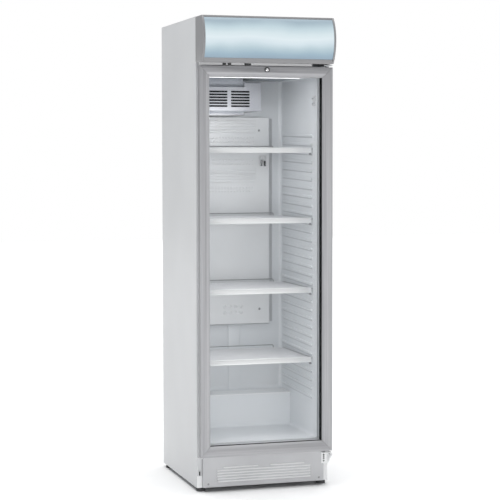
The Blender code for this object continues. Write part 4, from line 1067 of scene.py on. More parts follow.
@dataclass
class Liner:
    """The moulded inside: ribbed walls, hump, floor, ceiling and the coves between them."""

    wall: float = 0.002
    rib_out: float = 0.006
    rib_height: float = 0.010
    rib_pitch: float = 0.0385
    ribs: int = 31
    rib_front: float = 0.068
    rib_rear: float = 0.020
    rib_round: float = 0.0022
    rib_tilt: float = math.radians(1.6)
    rib_shadow_drop: float = 0.0055
    rib_shadow_out: float = 0.0012
    cove: float = 0.016
    floor_cove: float = 0.012
    hump_round: float = 0.007
    clearance: float = 0.0003
    channel: tuple[float, float] = (-0.010, 0.048)

    def build(self) -> None:
        """Builds and dresses the liner."""
        self.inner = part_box("liner_right_wall")[0].x + self.rib_out
        self.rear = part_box("liner_rear_wall")[0].y
        self.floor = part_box("liner_floor")[1].z
        self.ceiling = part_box("liner_ceiling")[0].z
        hump_low, hump_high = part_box("liner_hump")
        self.hump_front, self.hump_top = hump_low.y, hump_high.z
        for side, sign in (("left", -1), ("right", 1)):
            self.side_wall(f"liner_{side}_wall", sign)
        self.hump()
        # The ceiling takes a dark grey: painted shade on the liner's white plastic.
        for node, name, finish in (
            ("liner_rear_wall", "rear_wall", LINER_PLASTIC),
            ("liner_ceiling", "ceiling", CEILING_SHADE_PAINT),
            ("liner_floor", "floor", LINER_PLASTIC),
        ):
            piece = Bench.soften(Bench.copy_of(node, f"{name}_moulded"), 0.0008)
            settle(piece, finish, "cabinet", "white_liner", node)
        self.coves()
        self.drain_channel()

    def side_wall(self, node: str, sign: int) -> None:
        """A wall with its front flange, a ladder of round-ended ribs and, under each rib, a darker strip of painted
        shadow.
        """
        low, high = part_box(node)
        gap = self.clearance
        face = sign * self.inner
        back = face + sign * self.wall
        outline = [
            (low.y, low.z),
            (self.hump_front - gap, low.z),
            (self.hump_front - gap, self.hump_top + gap),
            (high.y, self.hump_top + gap),
            (high.y, high.z),
            (low.y, high.z),
        ]
        wall = Bench.plate("wall", outline, Axis.X, face, back)
        edge = high.x if sign > 0 else low.x
        near, far = sorted((face, edge))
        flange = Bench.cuboid("flange", (near, low.y, low.z), (far, low.y + self.wall, high.z))
        crown = face - sign * self.rib_out
        near, far = sorted((crown, face + sign * self.wall / 2))
        shelf_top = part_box("shelf_1")[1].z
        top = self.first_rib()
        start = (near, low.y + self.rib_front, top - self.rib_height)
        rib = Bench.cuboid("rib", start, (far, self.rear - self.rib_rear, top))
        LOG.debug("ribs start at %.4f, shelf at %.4f", top, shelf_top)
        is_end = lambda edge: abs((edge.verts[0].co - edge.verts[1].co).x) > 1e-4
        Bench.round_edges(rib, is_end, self.rib_height * 0.49, 5)
        on_crown = lambda edge: all(abs(vertex.co.x - crown) < 1e-5 for vertex in edge.verts)
        Bench.round_edges(rib, on_crown, self.rib_round, 3)
        self.tilt(rib)
        Bench.repeat(rib, self.ribs, (0, 0, -self.rib_pitch))
        piece = Bench.weld(f"{node}_moulded", wall, flange, rib)
        settle(Bench.smooth(piece), LINER_PLASTIC, "cabinet", "white_liner", node)
        # Painted shadow: a darker strip on the wall below each rib, where the rib's shade falls.
        near, far = sorted((face - sign * self.rib_shadow_out, face + sign * self.wall / 2))
        foot = top - self.rib_height
        start = (near, low.y + self.rib_front + self.rib_height / 2, foot - self.rib_shadow_drop)
        groove = Bench.cuboid("groove", start, (far, self.rear - self.rib_rear - self.rib_height / 2, foot + 0.002))
        Bench.soften(groove, 0.0006)
        self.tilt(groove)
        Bench.repeat(groove, self.ribs, (0, 0, -self.rib_pitch))
        groove.name = f"{node}_rib_shadow"
        settle(groove, RIB_SHADOW_PAINT, "cabinet", "white_liner")

    def tilt(self, rib: Thing) -> None:
        """Lets a rib fall a little towards the front, about its rear end."""
        with Bench.editing(rib):
            bpy.ops.mesh.select_all(action="SELECT")
            bpy.ops.transform.rotate(
                value=-self.rib_tilt, orient_axis="X", center_override=(0.0, self.rear, self.first_rib())
            )

    def first_rib(self) -> float:
        """The upper edge of the highest rib, two steps above the highest shelf's own."""
        rail_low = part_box("shelf_1")[0].z
        rail_height, deck_drop, deck = 0.024, 0.004, 0.004
        return rail_low + rail_height - deck_drop - deck - self.clearance + 2 * self.rib_pitch

    def hump(self) -> None:
        """The compressor hump with its long front edge rounded and a painted highlight on its upward faces."""
        piece = Bench.copy_of("liner_hump", "hump_moulded")
        Bench.round_edges(piece, along(Axis.X, self.hump_front, self.hump_top), self.hump_round, 6)
        inner = (self.hump_front + self.wall, self.hump_top - self.wall)
        Bench.round_edges(piece, along(Axis.X, *inner), self.hump_round - self.wall, 6)
        settle(piece, LINER_PLASTIC, "cabinet", "white_liner", "liner_hump")
        # Painted highlight: the faces that look up take the lighter copy.
        dress_faces(piece, lambda face: face.normal.z > 0.3, HUMP_TOP_HIGHLIGHT)

    def cove_outline(self, corner: Pair, ways: tuple[int, int], radius: float) -> list[Pair]:
        """A hollow quarter round in a corner.

        Args:
            corner: The corner's place.
            ways: The directions of its two sides.
            radius: The hollow's radius.

        Returns:
            The outline, from the corner round the hollow.
        """
        points = [corner]
        for step in range(9):
            turn = step * math.pi / 16
            points.append(
                (
                    corner[0] + ways[0] * radius * (1 - math.cos(turn)),
                    corner[1] + ways[1] * radius * (1 - math.sin(turn)),
                )
            )
        return points

    def coves(self) -> None:
        """Rounds the inside corners, as a moulded liner has them."""
        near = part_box("liner_floor")[0].y
        pieces = []
        for sign in (-1, 1):
            outline = self.cove_outline((sign * self.inner, self.rear), (-sign, -1), self.cove)
            pieces.append(Bench.plate("cove", outline, Axis.Z, self.hump_top, self.ceiling))
            outline = self.cove_outline((sign * self.inner, self.floor), (-sign, 1), self.floor_cove)
            pieces.append(Bench.plate("cove", outline, Axis.Y, near, self.hump_front))
            outline = self.cove_outline((sign * self.inner, self.ceiling), (-sign, -1), self.cove * 0.4)
            pieces.append(Bench.plate("cove", outline, Axis.Y, near, self.rear))
        for corner, radius in (
            ((self.hump_front, self.floor), self.floor_cove),
            ((self.rear, self.hump_top), self.cove),
        ):
            outline = self.cove_outline(corner, (-1, 1), radius)
            pieces.append(Bench.plate("cove", outline, Axis.X, -self.inner, self.inner))
        settle(Bench.smooth(Bench.weld("liner_coves", *pieces)), LINER_PLASTIC, "cabinet", "white_liner")

    def drain_channel(self) -> None:
        """The flat channel down the rear wall from the duct to the hump."""
        duct_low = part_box("rear_duct_panel")[0].z
        left, right = self.channel
        start = (left, self.rear - 0.005, self.hump_top - 0.001)
        piece = Bench.cuboid("drain_channel", start, (right, self.rear + 0.001, duct_low + 0.02))
        settle(Bench.soften(piece, 0.0025, 3), LINER_PLASTIC, "cabinet", "white_liner")


@dataclass
class AirDuct:
    """The rear duct panel with its pressed beads, dimples and screws, and the probe's clip."""

    corner: float = 0.004
    top_round: float = 0.020
    trim: Triple = (0.9635, 1.0, 0.9876)
    bead_reach: Pair = (-0.180, 0.118)
    bead_height: float = 0.007
    bead_proud: float = 0.0028
    shadow_gap: float = 0.020
    lower_shadow: float = 0.006
    bead_groups: tuple[tuple[float, float, int], ...] = ((1.607, 0.0135, 5), (1.386, 0.0138, 5))
    dimple_pitch: float = 0.0145
    dimple_rows: tuple[float, ...] = (1.527, 1.509, 1.426, 1.408, 1.300, 1.284)
    dimple_block: Triple = (-0.032, 0.749, 0.0257)
    block_radius: float = 0.0085
    screws: tuple[Pair, ...] = ((0.134, 1.5625), (0.1356, 0.7347))
    clip_low: Pair = (0.132, 1.398)
    clip_high: Pair = (0.171, 1.449)

    def build(self) -> None:
        """Builds and dresses the duct and what is on it."""
        low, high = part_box("rear_duct_panel")
        self.face = low.y
        panel = Bench.copy_of("rear_duct_panel", "duct_pressed")
        with Bench.editing(panel):
            bpy.ops.mesh.select_all(action="SELECT")
            bpy.ops.transform.resize(value=self.trim, center_override=(0.0, self.face, high.z))
        low = Vector((low.x * self.trim[0], low.y, high.z - (high.z - low.z) * self.trim[2]))
        high = Vector((high.x * self.trim[0], high.y, high.z))
        for x in (low.x, high.x):
            Bench.round_edges(panel, along(Axis.Z, x, self.face), self.corner)
        Bench.round_edges(panel, along(Axis.X, self.face, high.z), self.top_round, 8)
        pieces = [Bench.smooth(panel)]
        for top, pitch, count in self.bead_groups:
            pieces.append(self.beads(top, pitch, count))
        columns = int((self.bead_reach[1] - self.bead_reach[0]) / self.dimple_pitch)
        for level in self.dimple_rows:
            pieces.append(self.dimples((self.bead_reach[0] + 0.008, level), columns, 1, self.dimple_pitch))
        left, level, pitch = self.dimple_block
        pieces.append(self.dimples((left, level), 4, 2, pitch, self.block_radius))
        settle(Bench.weld("duct_pressed", *pieces), DUCT_PLASTIC, "cabinet", "white_liner", "rear_duct_panel")
        places = [(x, self.face, z) for x, z in self.screws]
        settle(Screws(radius=0.0055).row("duct_screws", places, Axis.Y, -1), SCREW_AND_SHADE_GREY, "cabinet", "black_plastic")
        self.duct_shadow_strips(low, high)
        self.clip()

    def duct_shadow_strips(self, low: Vector, high: Vector) -> None:
        """Painted shadow: grey strips on the rear wall along both sides of the duct and under its lower edge."""
        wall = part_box("liner_rear_wall")[0].y
        strips = []
        for inner, outer in ((low.x - self.shadow_gap, low.x - 0.0003), (high.x + 0.0003, high.x + self.shadow_gap)):
            strip = Bench.cuboid("strip", (inner, wall - 0.004, low.z + 0.004), (outer, wall + 0.0005, high.z - 0.004))
            strips.append(Bench.soften(strip, 0.0015))
        # The strip under the duct's lower edge is painted shadow too.
        foot = Bench.cuboid("strip", (low.x, low.y + 0.004, low.z - self.lower_shadow), (high.x, wall + 0.0005, low.z))
        strips.append(Bench.soften(foot, 0.0015))
        settle(Bench.weld("duct_painted_shadows", *strips), SHADOW_AND_WIRE_GREY, "cabinet", "grey_rubber")

    def beads(self, top: float, pitch: float, count: int) -> Thing:
        """A group of level beads pressed out of the panel."""
        start = (self.bead_reach[0], self.face - self.bead_proud, top - self.bead_height)
        bead = Bench.cuboid("bead", start, (self.bead_reach[1], self.face + 0.0005, top))
        Bench.soften(bead, self.bead_proud * 0.95, 3)
        return Bench.repeat(bead, count, (0, 0, -pitch))

    def dimples(self, first: Pair, columns: int, rows: int, pitch: float, radius: float = 0.0045) -> Thing:
        """A grid of round dimples pressed out of the panel."""
        proud = self.bead_proud
        profile = [
            (0.0, 0.0005),
            (radius, 0.0005),
            (radius * 0.9, -proud * 0.5),
            (radius * 0.6, -proud * 0.9),
            (0.0, -proud),
        ]
        dimple = Bench.lathe("dimple", profile, (first[0], self.face, first[1]), Axis.Y, 12)
        Bench.smooth(dimple, 60)
        Bench.repeat(dimple, columns, (pitch, 0, 0))
        return Bench.repeat(dimple, rows, (0, 0, -pitch * 1.08))

    def clip(self) -> None:
        """The clip that holds the temperature probe, and the probe."""
        left, low = self.clip_low
        right, high = self.clip_high
        face = self.face
        base = Bench.soften(Bench.cuboid("base", (left, face - 0.003, high - 0.02), (right, face, high)), 0.0012, 2)
        arms = [base]
        for share in (0.18, 0.82):
            x = left + share * (right - left)
            points = [
                (x, face - 0.002, high - 0.006),
                (x, face - 0.014, high - 0.010),
                (x, face - 0.016, low + 0.016),
                (x, face - 0.012, low + 0.004),
            ]
            arms.append(Bench.wire("arm", points, 0.0022))
        settle(Bench.weld("probe_clip", *arms), CONTROL_WHITE, "cabinet", "control_white")
        probes = []
        for share in (0.28, 0.72):
            x = left + share * (right - left)
            start, end = (low + 0.001, low + 0.030) if share < 0.5 else (low, low + 0.024)
            points = [(x, face - 0.0075, start), (x, face - 0.0075, end)]
            probes.append(Bench.soften(Bench.wire("probe", points, 0.0048, 4), 0.0015, 3, 60))
        settle(Bench.weld("probes", *probes), FOOT_RUBBER, "cabinet", "grey_rubber")


@dataclass
class Evaporator:
    """The cooling unit under the ceiling: slotted cover, a near-black sheet behind the slots as painted shade, tray,
    coil and fan.
    """

    wall: float = 0.002
    edge: float = 0.005
    tower: float = 0.080
    tower_depth: float = 0.086
    shoulder: float = 0.0200
    slot_columns: tuple[Pair, ...] = ((-0.170, -0.083), (-0.067, 0.020))
    slot_top: float = 1.7337
    slot_height: float = 0.0080
    slot_pitch: float = 0.0128
    slot_rows: int = 6
    baffle: float = 0.004
    margin: float = 0.006
    backing_set: float = 0.020
    tray_shadow: float = 0.0024
    gap: float = 0.0003

    def outline(self, inset: float) -> list[Pair]:
        """The cover seen from the front, a low part with a tower at its right end."""
        low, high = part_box("evaporator_cover")
        shoulder = high.z - self.shoulder
        return [
            (low.x + inset, low.z + inset),
            (high.x - inset, low.z + inset),
            (high.x - inset, high.z - inset),
            (high.x - self.tower + inset, high.z - inset),
            (high.x - self.tower + inset, shoulder - inset),
            (low.x + inset, shoulder - inset),
        ]

    def backing(self) -> None:
        """The closing plates above the cover's low part and between the cover and its tray, and a dark slab under the
        tray as painted shadow.
        """
        low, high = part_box("evaporator_cover")
        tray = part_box("drip_tray")
        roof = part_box("liner_ceiling")[0].z - self.gap
        plates = []
        for left, right, near, bottom, top in (
            (low.x, high.x - self.tower, low.y + self.backing_set, high.z - self.shoulder + self.gap, roof),
            (tray[0].x, tray[1].x, tray[0].y + self.backing_set / 2, tray[1].z + self.gap, low.z - self.gap),
        ):
            plate = Bench.cuboid("plate", (left, near, bottom), (right, near + self.baffle, top))
            plates.append(Bench.soften(plate, 0.0008))
        # The plates take the ceiling's dark grey: painted shade.
        settle(Bench.weld("cooler_backing", *plates), CEILING_SHADE_PAINT, "cabinet", "white_liner")
        # Painted shadow: a thin dark slab under the tray.
        start = (tray[0].x, tray[0].y + self.edge / 2, tray[0].z - self.tray_shadow)
        tray_shadow = Bench.cuboid("tray_painted_shadow", start, (tray[1].x - self.edge / 2, tray[1].y, tray[0].z - self.gap))
        settle(Bench.soften(tray_shadow, self.tray_shadow / 4), SCREW_AND_SHADE_GREY, "cabinet", "grey_rubber")

    def behind_tower(self) -> Thing:
        """The block that is cut away so that the tower is only as deep as its duct."""
        low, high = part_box("evaporator_cover")
        start = (low.x - 0.01, low.y + self.tower_depth, high.z - self.shoulder)
        return Bench.cuboid("behind_tower", start, (high.x + 0.01, high.y + 0.01, high.z + 0.01))

    def build(self) -> None:
        """Builds and dresses the unit."""
        low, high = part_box("evaporator_cover")
        cover = Bench.plate("cooler_cover", self.outline(0.0), Axis.Y, low.y, high.y)
        Bench.round_edges(cover, lambda edge: all(v.co.y < low.y + 1e-4 for v in edge.verts), self.edge, 5)
        Bench.carve(cover, self.behind_tower())
        hollow = Bench.plate("hollow", self.outline(self.wall), Axis.Y, low.y + self.wall, high.y + 0.01)
        gap = self.behind_tower()
        with Bench.editing(gap):
            bpy.ops.transform.translate(value=(0, -self.wall, -self.wall))
        Bench.carve(cover, Bench.carve(hollow, gap))
        for left, right in self.slot_columns:
            bottom = self.slot_top - self.slot_height
            slots = Bench.cuboid("slots", (left, low.y - 0.01, bottom), (right, low.y + 0.01, self.slot_top))
            ends = lambda edge: abs((edge.verts[0].co - edge.verts[1].co).y) > 1e-3
            Bench.round_edges(slots, ends, self.slot_height * 0.4, 3)
            Bench.carve(cover, Bench.repeat(slots, self.slot_rows, (0, 0, -self.slot_pitch)))
        # Painted shade: the cover takes a grey far darker than the liner's white plastic.
        settle(Bench.smooth(cover), COVER_SHADE_PAINT, "cabinet", "white_liner", "evaporator_cover")
        # Painted shade: a near-black sheet behind the slots stands in for the dark inside the cover.
        depth = low.y + self.wall + 0.0004
        start = (self.slot_columns[0][0] - self.margin, depth, low.z + self.margin)
        end = (self.slot_columns[-1][1] + self.margin, depth + self.baffle, high.z - self.shoulder - self.margin)
        baffle = Bench.soften(Bench.cuboid("cooler_slot_shade", start, end), 0.001)
        settle(baffle, BLACK_SEAL_AND_SHADE, "cabinet", "black_plastic")
        tray = Bench.soften(Bench.copy_of("drip_tray", "cooler_tray"), 0.0008)
        # The tray takes the same painted shade.
        settle(tray, COVER_SHADE_PAINT, "cabinet", "white_liner", "drip_tray")
        self.backing()
        FIN_ALUMINIUM.dress(frame["nodes"]["evaporator_coil"])
        ZINC.dress(frame["nodes"]["evaporator_fan_motor"])
        BLACK_PLASTIC.dress(frame["nodes"]["evaporator_fan"])


@dataclass
class CeilingLamp:
    """The lamp across the front of the ceiling, with an end cap at each end."""

    edge: float = 0.0025
    cap: float = 0.010
    thinner: float = 0.0010

    def build(self) -> None:
        """Builds and dresses the lamp."""
        low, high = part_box("interior_lamp")
        lens = Bench.copy_of("interior_lamp", "lamp_lens")
        with Bench.editing(lens):
            Bench.pick_faces(lens, lambda face: all(corner.co.z < low.z + 1e-4 for corner in face.verts))
            bpy.ops.transform.translate(value=(0, 0, self.thinner))
        Bench.soften(lens, self.edge, 3, 30)
        settle(lens, LAMP_OPAL, "cabinet", "lamp", "interior_lamp")
        ends = []
        for start in (low.x - 0.001, high.x - self.cap + 0.001):
            first = (start, low.y - 0.001, low.z + self.thinner - 0.0008)
            end = Bench.cuboid("end", first, (start + self.cap, high.y + 0.001, high.z))
            ends.append(Bench.soften(end, 0.002, 3))
        settle(Bench.weld("lamp_ends", *ends), CONTROL_WHITE, "cabinet", "control_white")


@dataclass
class WireShelf:
    """A coated wire shelf with a ticket rail, modelled once and copied down the cabinet."""

    bodies: tuple[str, ...] = ("upper_shelf", "second_shelf", "third_shelf", "lower_shelf")
    rail_height: float = 0.024
    rail_depth: float = 0.006
    rail_inset: float = 0.005
    deck_drop: float = 0.004
    deck: float = 0.004
    wires: int = 25
    wire_radius: float = 0.0019
    support_radius: float = 0.0026
    supports: tuple[float, ...] = (-0.165, -0.055, 0.055, 0.165)
    stop_rise: float = 0.015
    groove: float = 0.0016
    stop_half: float = 0.200
    hook: Triple = (0.010, 0.007, 0.009)
    first_wire: float = 0.007

    def build(self) -> None:
        """Builds the highest shelf, copies it to every place and dresses the copies."""
        low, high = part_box("shelf_1")
        parts = (
            ("rim", self.rim(low, high), COATED_WIRE, "coated_wire"),
            # The deck takes the darker copy of the coated wire: painted shade.
            ("deck", self.deck_wires(low, high), DECK_WIRE_SHADED, "coated_wire"),
            # The stop, side wires and hooks take a dark grey: painted shade behind and beside the shelf.
            ("stop", self.stop_and_hooks(low, high), SCREW_AND_SHADE_GREY, "black_plastic"),
        )
        for number, body in enumerate(self.bodies):
            node = f"shelf_{number + 1}"
            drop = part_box(node)[0].z - low.z
            for name, pattern, finish, slot in parts:
                piece = Bench.copy_at(pattern, f"{node}_{name}", (0, 0, drop))
                settle(piece, finish, body, slot, *([node] if name == "rim" else []))
        for _, pattern, _, _ in parts:
            bpy.data.objects.remove(pattern)

    def level(self, low: Vector) -> float:
        """The height of the deck wires' middle."""
        return low.z + self.rail_height - self.deck_drop - self.deck / 2

    def rim(self, low: Vector, high: Vector) -> Thing:
        """The ticket rail, the rear wire and the wires that run from front to rear underneath.

        Args:
            low: The shelf's lowest corner.
            high: Its highest corner.

        Returns:
            The joined piece.
        """
        radius = self.support_radius
        level = self.level(low)
        side, back = high.x - radius, high.y - radius
        pieces = [self.ticket_rail(low.y, low.z + self.rail_height, high.x - self.rail_inset)]
        pieces.append(Bench.wire("edge", [(-side, back, level), (side, back, level)], radius))
        under = level - self.wire_radius - radius * 0.6
        for x in self.supports:
            pieces.append(Bench.wire("support", [(x, low.y + radius, under), (x, back, under)], radius))
        return Bench.smooth(Bench.weld("rim", *pieces), 50)

    def deck_wires(self, low: Vector, high: Vector) -> Thing:
        """The close wires that goods stand on.

        Args:
            low: The shelf's lowest corner.
            high: Its highest corner.

        Returns:
            The wires as one piece.
        """
        level = self.level(low)
        side = high.x - self.support_radius
        start = low.y + self.rail_depth + self.first_wire
        pitch = (high.y - self.support_radius - start) / self.wires
        wire = Bench.wire("wire", [(-side, start, level), (side, start, level)], self.wire_radius)
        return Bench.smooth(Bench.repeat(wire, self.wires, (0, pitch, 0)), 50)

    def stop_and_hooks(self, low: Vector, high: Vector) -> Thing:
        """The raised wire at the rear, the side wires and the hooks under the rail's ends; their dark grey is painted
        shade.

        Args:
            low: The shelf's lowest corner.
            high: Its highest corner.

        Returns:
            The joined piece.
        """
        radius = self.support_radius
        level = self.level(low)
        back = high.y - radius
        rise = level + self.deck / 2 + self.stop_rise - radius
        bend = 2 * self.wire_radius
        half = [
            (-self.stop_half, back, level),
            (-self.stop_half, back, rise - bend),
            (-self.stop_half + bend, back, rise),
        ]
        path = half + [(-x, y, z) for x, y, z in reversed(half)]
        pieces = [Bench.wire("stop", path, self.wire_radius)]
        across, depth, drop = self.hook
        for side in (-1, 1):
            x = side * (high.x - radius)
            pieces.append(Bench.wire("side", [(x, low.y + radius, level), (x, back, level)], radius))
            end = side * (high.x - self.rail_inset)
            near, far = sorted((end - side * across, end))
            start = (near, low.y + self.groove, low.z - drop)
            hook = Bench.cuboid("hook", start, (far, low.y + self.groove + depth, low.z + self.groove))
            pieces.append(Bench.soften(hook, 0.0015, 3))
        return Bench.smooth(Bench.weld("stop", *pieces), 50)

    def ticket_rail(self, near: float, top: float, half: float) -> Thing:
        """The rail along the front with a channel for price tickets."""
        low = top - self.rail_height
        far = near + self.rail_depth
        lip, step = 0.0028, self.groove
        outline = [
            (far, low),
            (near + 0.001, low),
            (near, low + 0.001),
            (near, low + lip),
            (near + step, low + lip + 0.0012),
            (near + step, top - lip - 0.0012),
            (near, top - lip),
            (near, top - 0.0015),
            (near + 0.0015, top),
            (far, top),
        ]
        rail = Bench.plate("rail", outline, Axis.X, -half, half)
        return Bench.soften(rail, 0.0005)


@dataclass
class WallFitting:
    """The small clip high on the right wall, with a bent wire held by two screws."""

    middle: Pair = (-0.195, 1.684)
    size: Pair = (0.036, 0.044)
    thick: float = 0.003
    hook_levels: Pair = (0.010, -0.014)

    def build(self) -> None:
        """Builds and dresses the fitting."""
        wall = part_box("liner_right_wall")[0].x + 0.006
        depth, height = self.middle
        across, tall = self.size
        start = (wall - self.thick, depth - across / 2, height - tall / 2)
        plate = Bench.cuboid("plate", start, (wall + 0.0005, depth + across / 2, height + tall / 2))
        plate.name = "wall_clip_plate"
        settle(Bench.soften(plate, 0.0012, 3), LINING_GREY, "cabinet", "control_white")
        face = wall - self.thick
        hooks = []
        for rise in self.hook_levels:
            level = height + rise
            hook = [
                (face, depth - 0.010, level + 0.003),
                (face - 0.006, depth - 0.010, level + 0.002),
                (face - 0.007, depth, level - 0.003),
                (face - 0.006, depth + 0.010, level + 0.002),
                (face, depth + 0.010, level + 0.003),
            ]
            hooks.append(Bench.wire("hook", hook, 0.0018))
        settle(Bench.weld("wall_clip_wire", *hooks), SHADOW_AND_WIRE_GREY, "cabinet", "black_plastic")
        places = [(face, depth - 0.009, height - 0.006), (face, depth + 0.009, height - 0.006)]
        settle(Screws(radius=0.003).row("wall_clip_screws", places, Axis.X, -1), ZINC, "cabinet", "zinc_steel")


@dataclass
class KickGrille:
    """The plastic grille below the door, with hooded louvres and a screw at each end."""

    edge: float = 0.003
    louvre_low: float = 0.041
    louvre_pitch: float = 0.012
    louvre_rows: int = 5
    louvre_half: float = 0.213
    short_end: float = 0.184
    short_middle: float = 0.028
    hood_out: float = 0.0034
    hood_height: float = 0.0064
    lip: float = 0.0075
    screw: Pair = (0.252, 0.033)

    def build(self) -> None:
        """Builds and dresses the grille."""
        low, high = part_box("kick_grille")
        self.face = low.y
        panel = Bench.copy_of("kick_grille", "kick_moulded")
        with Bench.editing(panel):
            Bench.pick_faces(panel, lambda face: all(corner.co.z > high.z - 1e-4 for corner in face.verts))
            bpy.ops.transform.translate(value=(0, 0, self.lip))
        for x in (low.x, high.x):
            Bench.round_edges(panel, along(Axis.Z, x, self.face), self.edge)
        hoods = [Bench.repeat(self.hood(-self.louvre_half, self.louvre_half, 0), self.louvre_rows, (0, 0, self.louvre_pitch))]
        hoods.append(self.hood(-self.short_end, -self.short_middle, self.louvre_rows))
        hoods.append(self.hood(self.short_middle, self.short_end, self.louvre_rows))
        settle(Bench.smooth(panel), KICK_SILVER, "cabinet", "silver_plastic", "kick_grille")
        # Painted highlight: the hoods take a lighter copy of the kick's silver.
        settle(Bench.smooth(Bench.weld("kick_hoods", *hoods)), HOOD_HIGHLIGHT_SILVER, "cabinet", "silver_plastic")
        places = [(side * self.screw[0], self.face, self.screw[1]) for side in (-1, 1)]
        settle(Screws(radius=0.0045).row("kick_screws", places, Axis.Y, -1), SCREW_AND_SHADE_GREY, "cabinet", "black_plastic")

    def hood(self, left: float, right: float, row: int) -> Thing:
        """One louvre's hood, open underneath, over its slot."""
        low = self.louvre_low + row * self.louvre_pitch - 0.001
        top = low + self.hood_height
        steps = 5
        outer = []
        inner = []
        for step in range(steps + 1):
            turn = step / steps * math.pi / 2
            outer.append((self.face - self.hood_out * math.sin(turn), top - self.hood_height * (1 - math.cos(turn))))
            inner.append((outer[-1][0] + 0.0011, outer[-1][1] - 0.0011 * math.cos(turn)))
        outline = outer + inner[::-1]
        hood = Bench.plate("hood", outline, Axis.X, left, right)
        ends = []
        for x in (left, right - 0.0011):
            ends.append(Bench.plate("end", [(self.face + 0.0004, low), *outer[::-1]], Axis.X, x, x + 0.0011))
        return Bench.weld("hood", hood, *ends)


@dataclass
class Hinges:
    """The hinge brackets, the blanking bracket, corner boots and their fixings."""

    edge: float = 0.0007
    nose: float = 0.016
    gusset: tuple[Pair, ...] = (
        (-0.2410, 0.1500),
        (-0.3030, 0.1500),
        (-0.3085, 0.1492),
        (-0.3115, 0.1465),
        (-0.3120, 0.1430),
        (-0.3105, 0.1390),
        (-0.3070, 0.1355),
        (-0.2520, 0.0930),
        (-0.2410, 0.0915),
    )
    apron: tuple[Triple, Triple] = ((0.2625, -0.2592, 0.0950), (0.2966, -0.2573, 0.1500))
    slot_levels: tuple[float, ...] = (0.1335, 0.1260, 0.1172, 0.1060)
    slot_x: float = 0.2737
    slot_size: Pair = (0.0075, 0.0060)
    dot: Pair = (-0.279, 0.1400)
    dot_size: Pair = (0.013, 0.0055)
    corner_plate: float = 0.004
    corner_drop: float = 0.0097
    hole: Pair = (-0.2864, 0.0790)
    hole_size: Pair = (0.0058, 0.0180)
    boot_tops: Pair = (0.068, 0.0925)
    boot_width: float = 0.0225

    def build(self) -> None:
        """Builds and dresses the brackets."""
        low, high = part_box("lower_hinge_bracket")
        lower = Bench.copy_of("lower_hinge_bracket", "lower_hinge_pressed")
        front = low.y
        gusset_low = along(Axis.X, front, 0.142)
        Bench.round_edges(lower, gusset_low, self.nose * 0.4, 5)
        nose = Bench.plate("nose", self.gusset, Axis.X, high.x - 0.0045, high.x + 0.0003)
        apron = Bench.cuboid("apron", *self.apron)
        parts = [Bench.soften(part, self.edge) for part in (lower, nose, apron)]
        lower = Bench.weld("lower_hinge_pressed", *parts)
        settle(lower, BRACKET_ENAMEL, "cabinet", "white_steel", "lower_hinge_bracket")
        upper = Bench.soften(Bench.copy_of("upper_hinge_bracket", "upper_hinge_pressed"), self.edge)
        settle(upper, ZINC, "cabinet", "zinc_steel", "upper_hinge_bracket")
        corner = Bench.copy_of("corner_bracket", "corner_bracket_pressed")
        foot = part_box("corner_bracket")[0].z
        with Bench.editing(corner):
            Bench.pick_faces(corner, lambda face: all(vertex.co.z < foot + 1e-4 for vertex in face.verts))
            bpy.ops.transform.translate(value=(0, 0, -self.corner_drop))
        Bench.soften(corner, self.edge)
        settle(corner, WHITE_ENAMEL, "cabinet", "white_steel", "corner_bracket")
        self.marks()
        self.boots()

    def marks(self) -> None:
        """The brackets' slots and hole as black inlays, painted shade in place of openings, and the dark screw."""
        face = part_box("corner_bracket")[1].y - self.corner_plate
        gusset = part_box("lower_hinge_bracket")[1].x - 0.0045
        pieces = []
        for place in [(self.slot_x, level) for level in self.slot_levels]:
            pieces.append(self.mark(Axis.Y, self.apron[0][1], place, self.slot_size))
        pieces.append(self.mark(Axis.Y, face, self.hole, self.hole_size))
        pieces.append(self.mark(Axis.X, gusset, self.dot, self.dot_size))
        settle(Bench.weld("bracket_hole_shades", *pieces), BLACK_PLASTIC, "cabinet", "black_plastic")

    def mark(self, axis: Axis, face: float, middle: Pair, size: Pair) -> Thing:
        """A black round-ended inlay on a face: painted shade in place of an opening.

        Args:
            axis: The axis that the face looks along, backwards.
            face: The face's place on it.
            middle: The opening's middle on the other two axes.
            size: Its width and height.

        Returns:
            The opening as a thin inlay.
        """
        half = (size[0] / 2, size[1] / 2)
        low = axis.point(face - 0.0003, (middle[0] - half[0], middle[1] - half[1]))
        high = axis.point(face + 0.001, (middle[0] + half[0], middle[1] + half[1]))
        inlay = Bench.cuboid("mark", low, high)
        ends = lambda edge: abs((edge.verts[0].co - edge.verts[1].co)[axis.value]) > 1e-4
        return Bench.round_edges(inlay, ends, min(half) * 0.9, 3)

    def boots(self) -> None:
        """The white corner boots at the foot of each side return."""
        pieces = []
        for node, side, top in zip(("left_side_panel", "right_side_panel"), (-1, 1), self.boot_tops):
            low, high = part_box(node)
            outer = low.x if side < 0 else high.x
            near, far = sorted((outer + side * -0.0002, outer - side * self.boot_width))
            start = (near, low.y - 0.0035, low.z)
            boot = Bench.cuboid("boot", start, (far, low.y + 0.0005, top))
            pieces.append(Bench.soften(boot, 0.0018, 3))
        settle(Bench.weld("corner_boots", *pieces), BRACKET_ENAMEL, "cabinet", "white_steel")


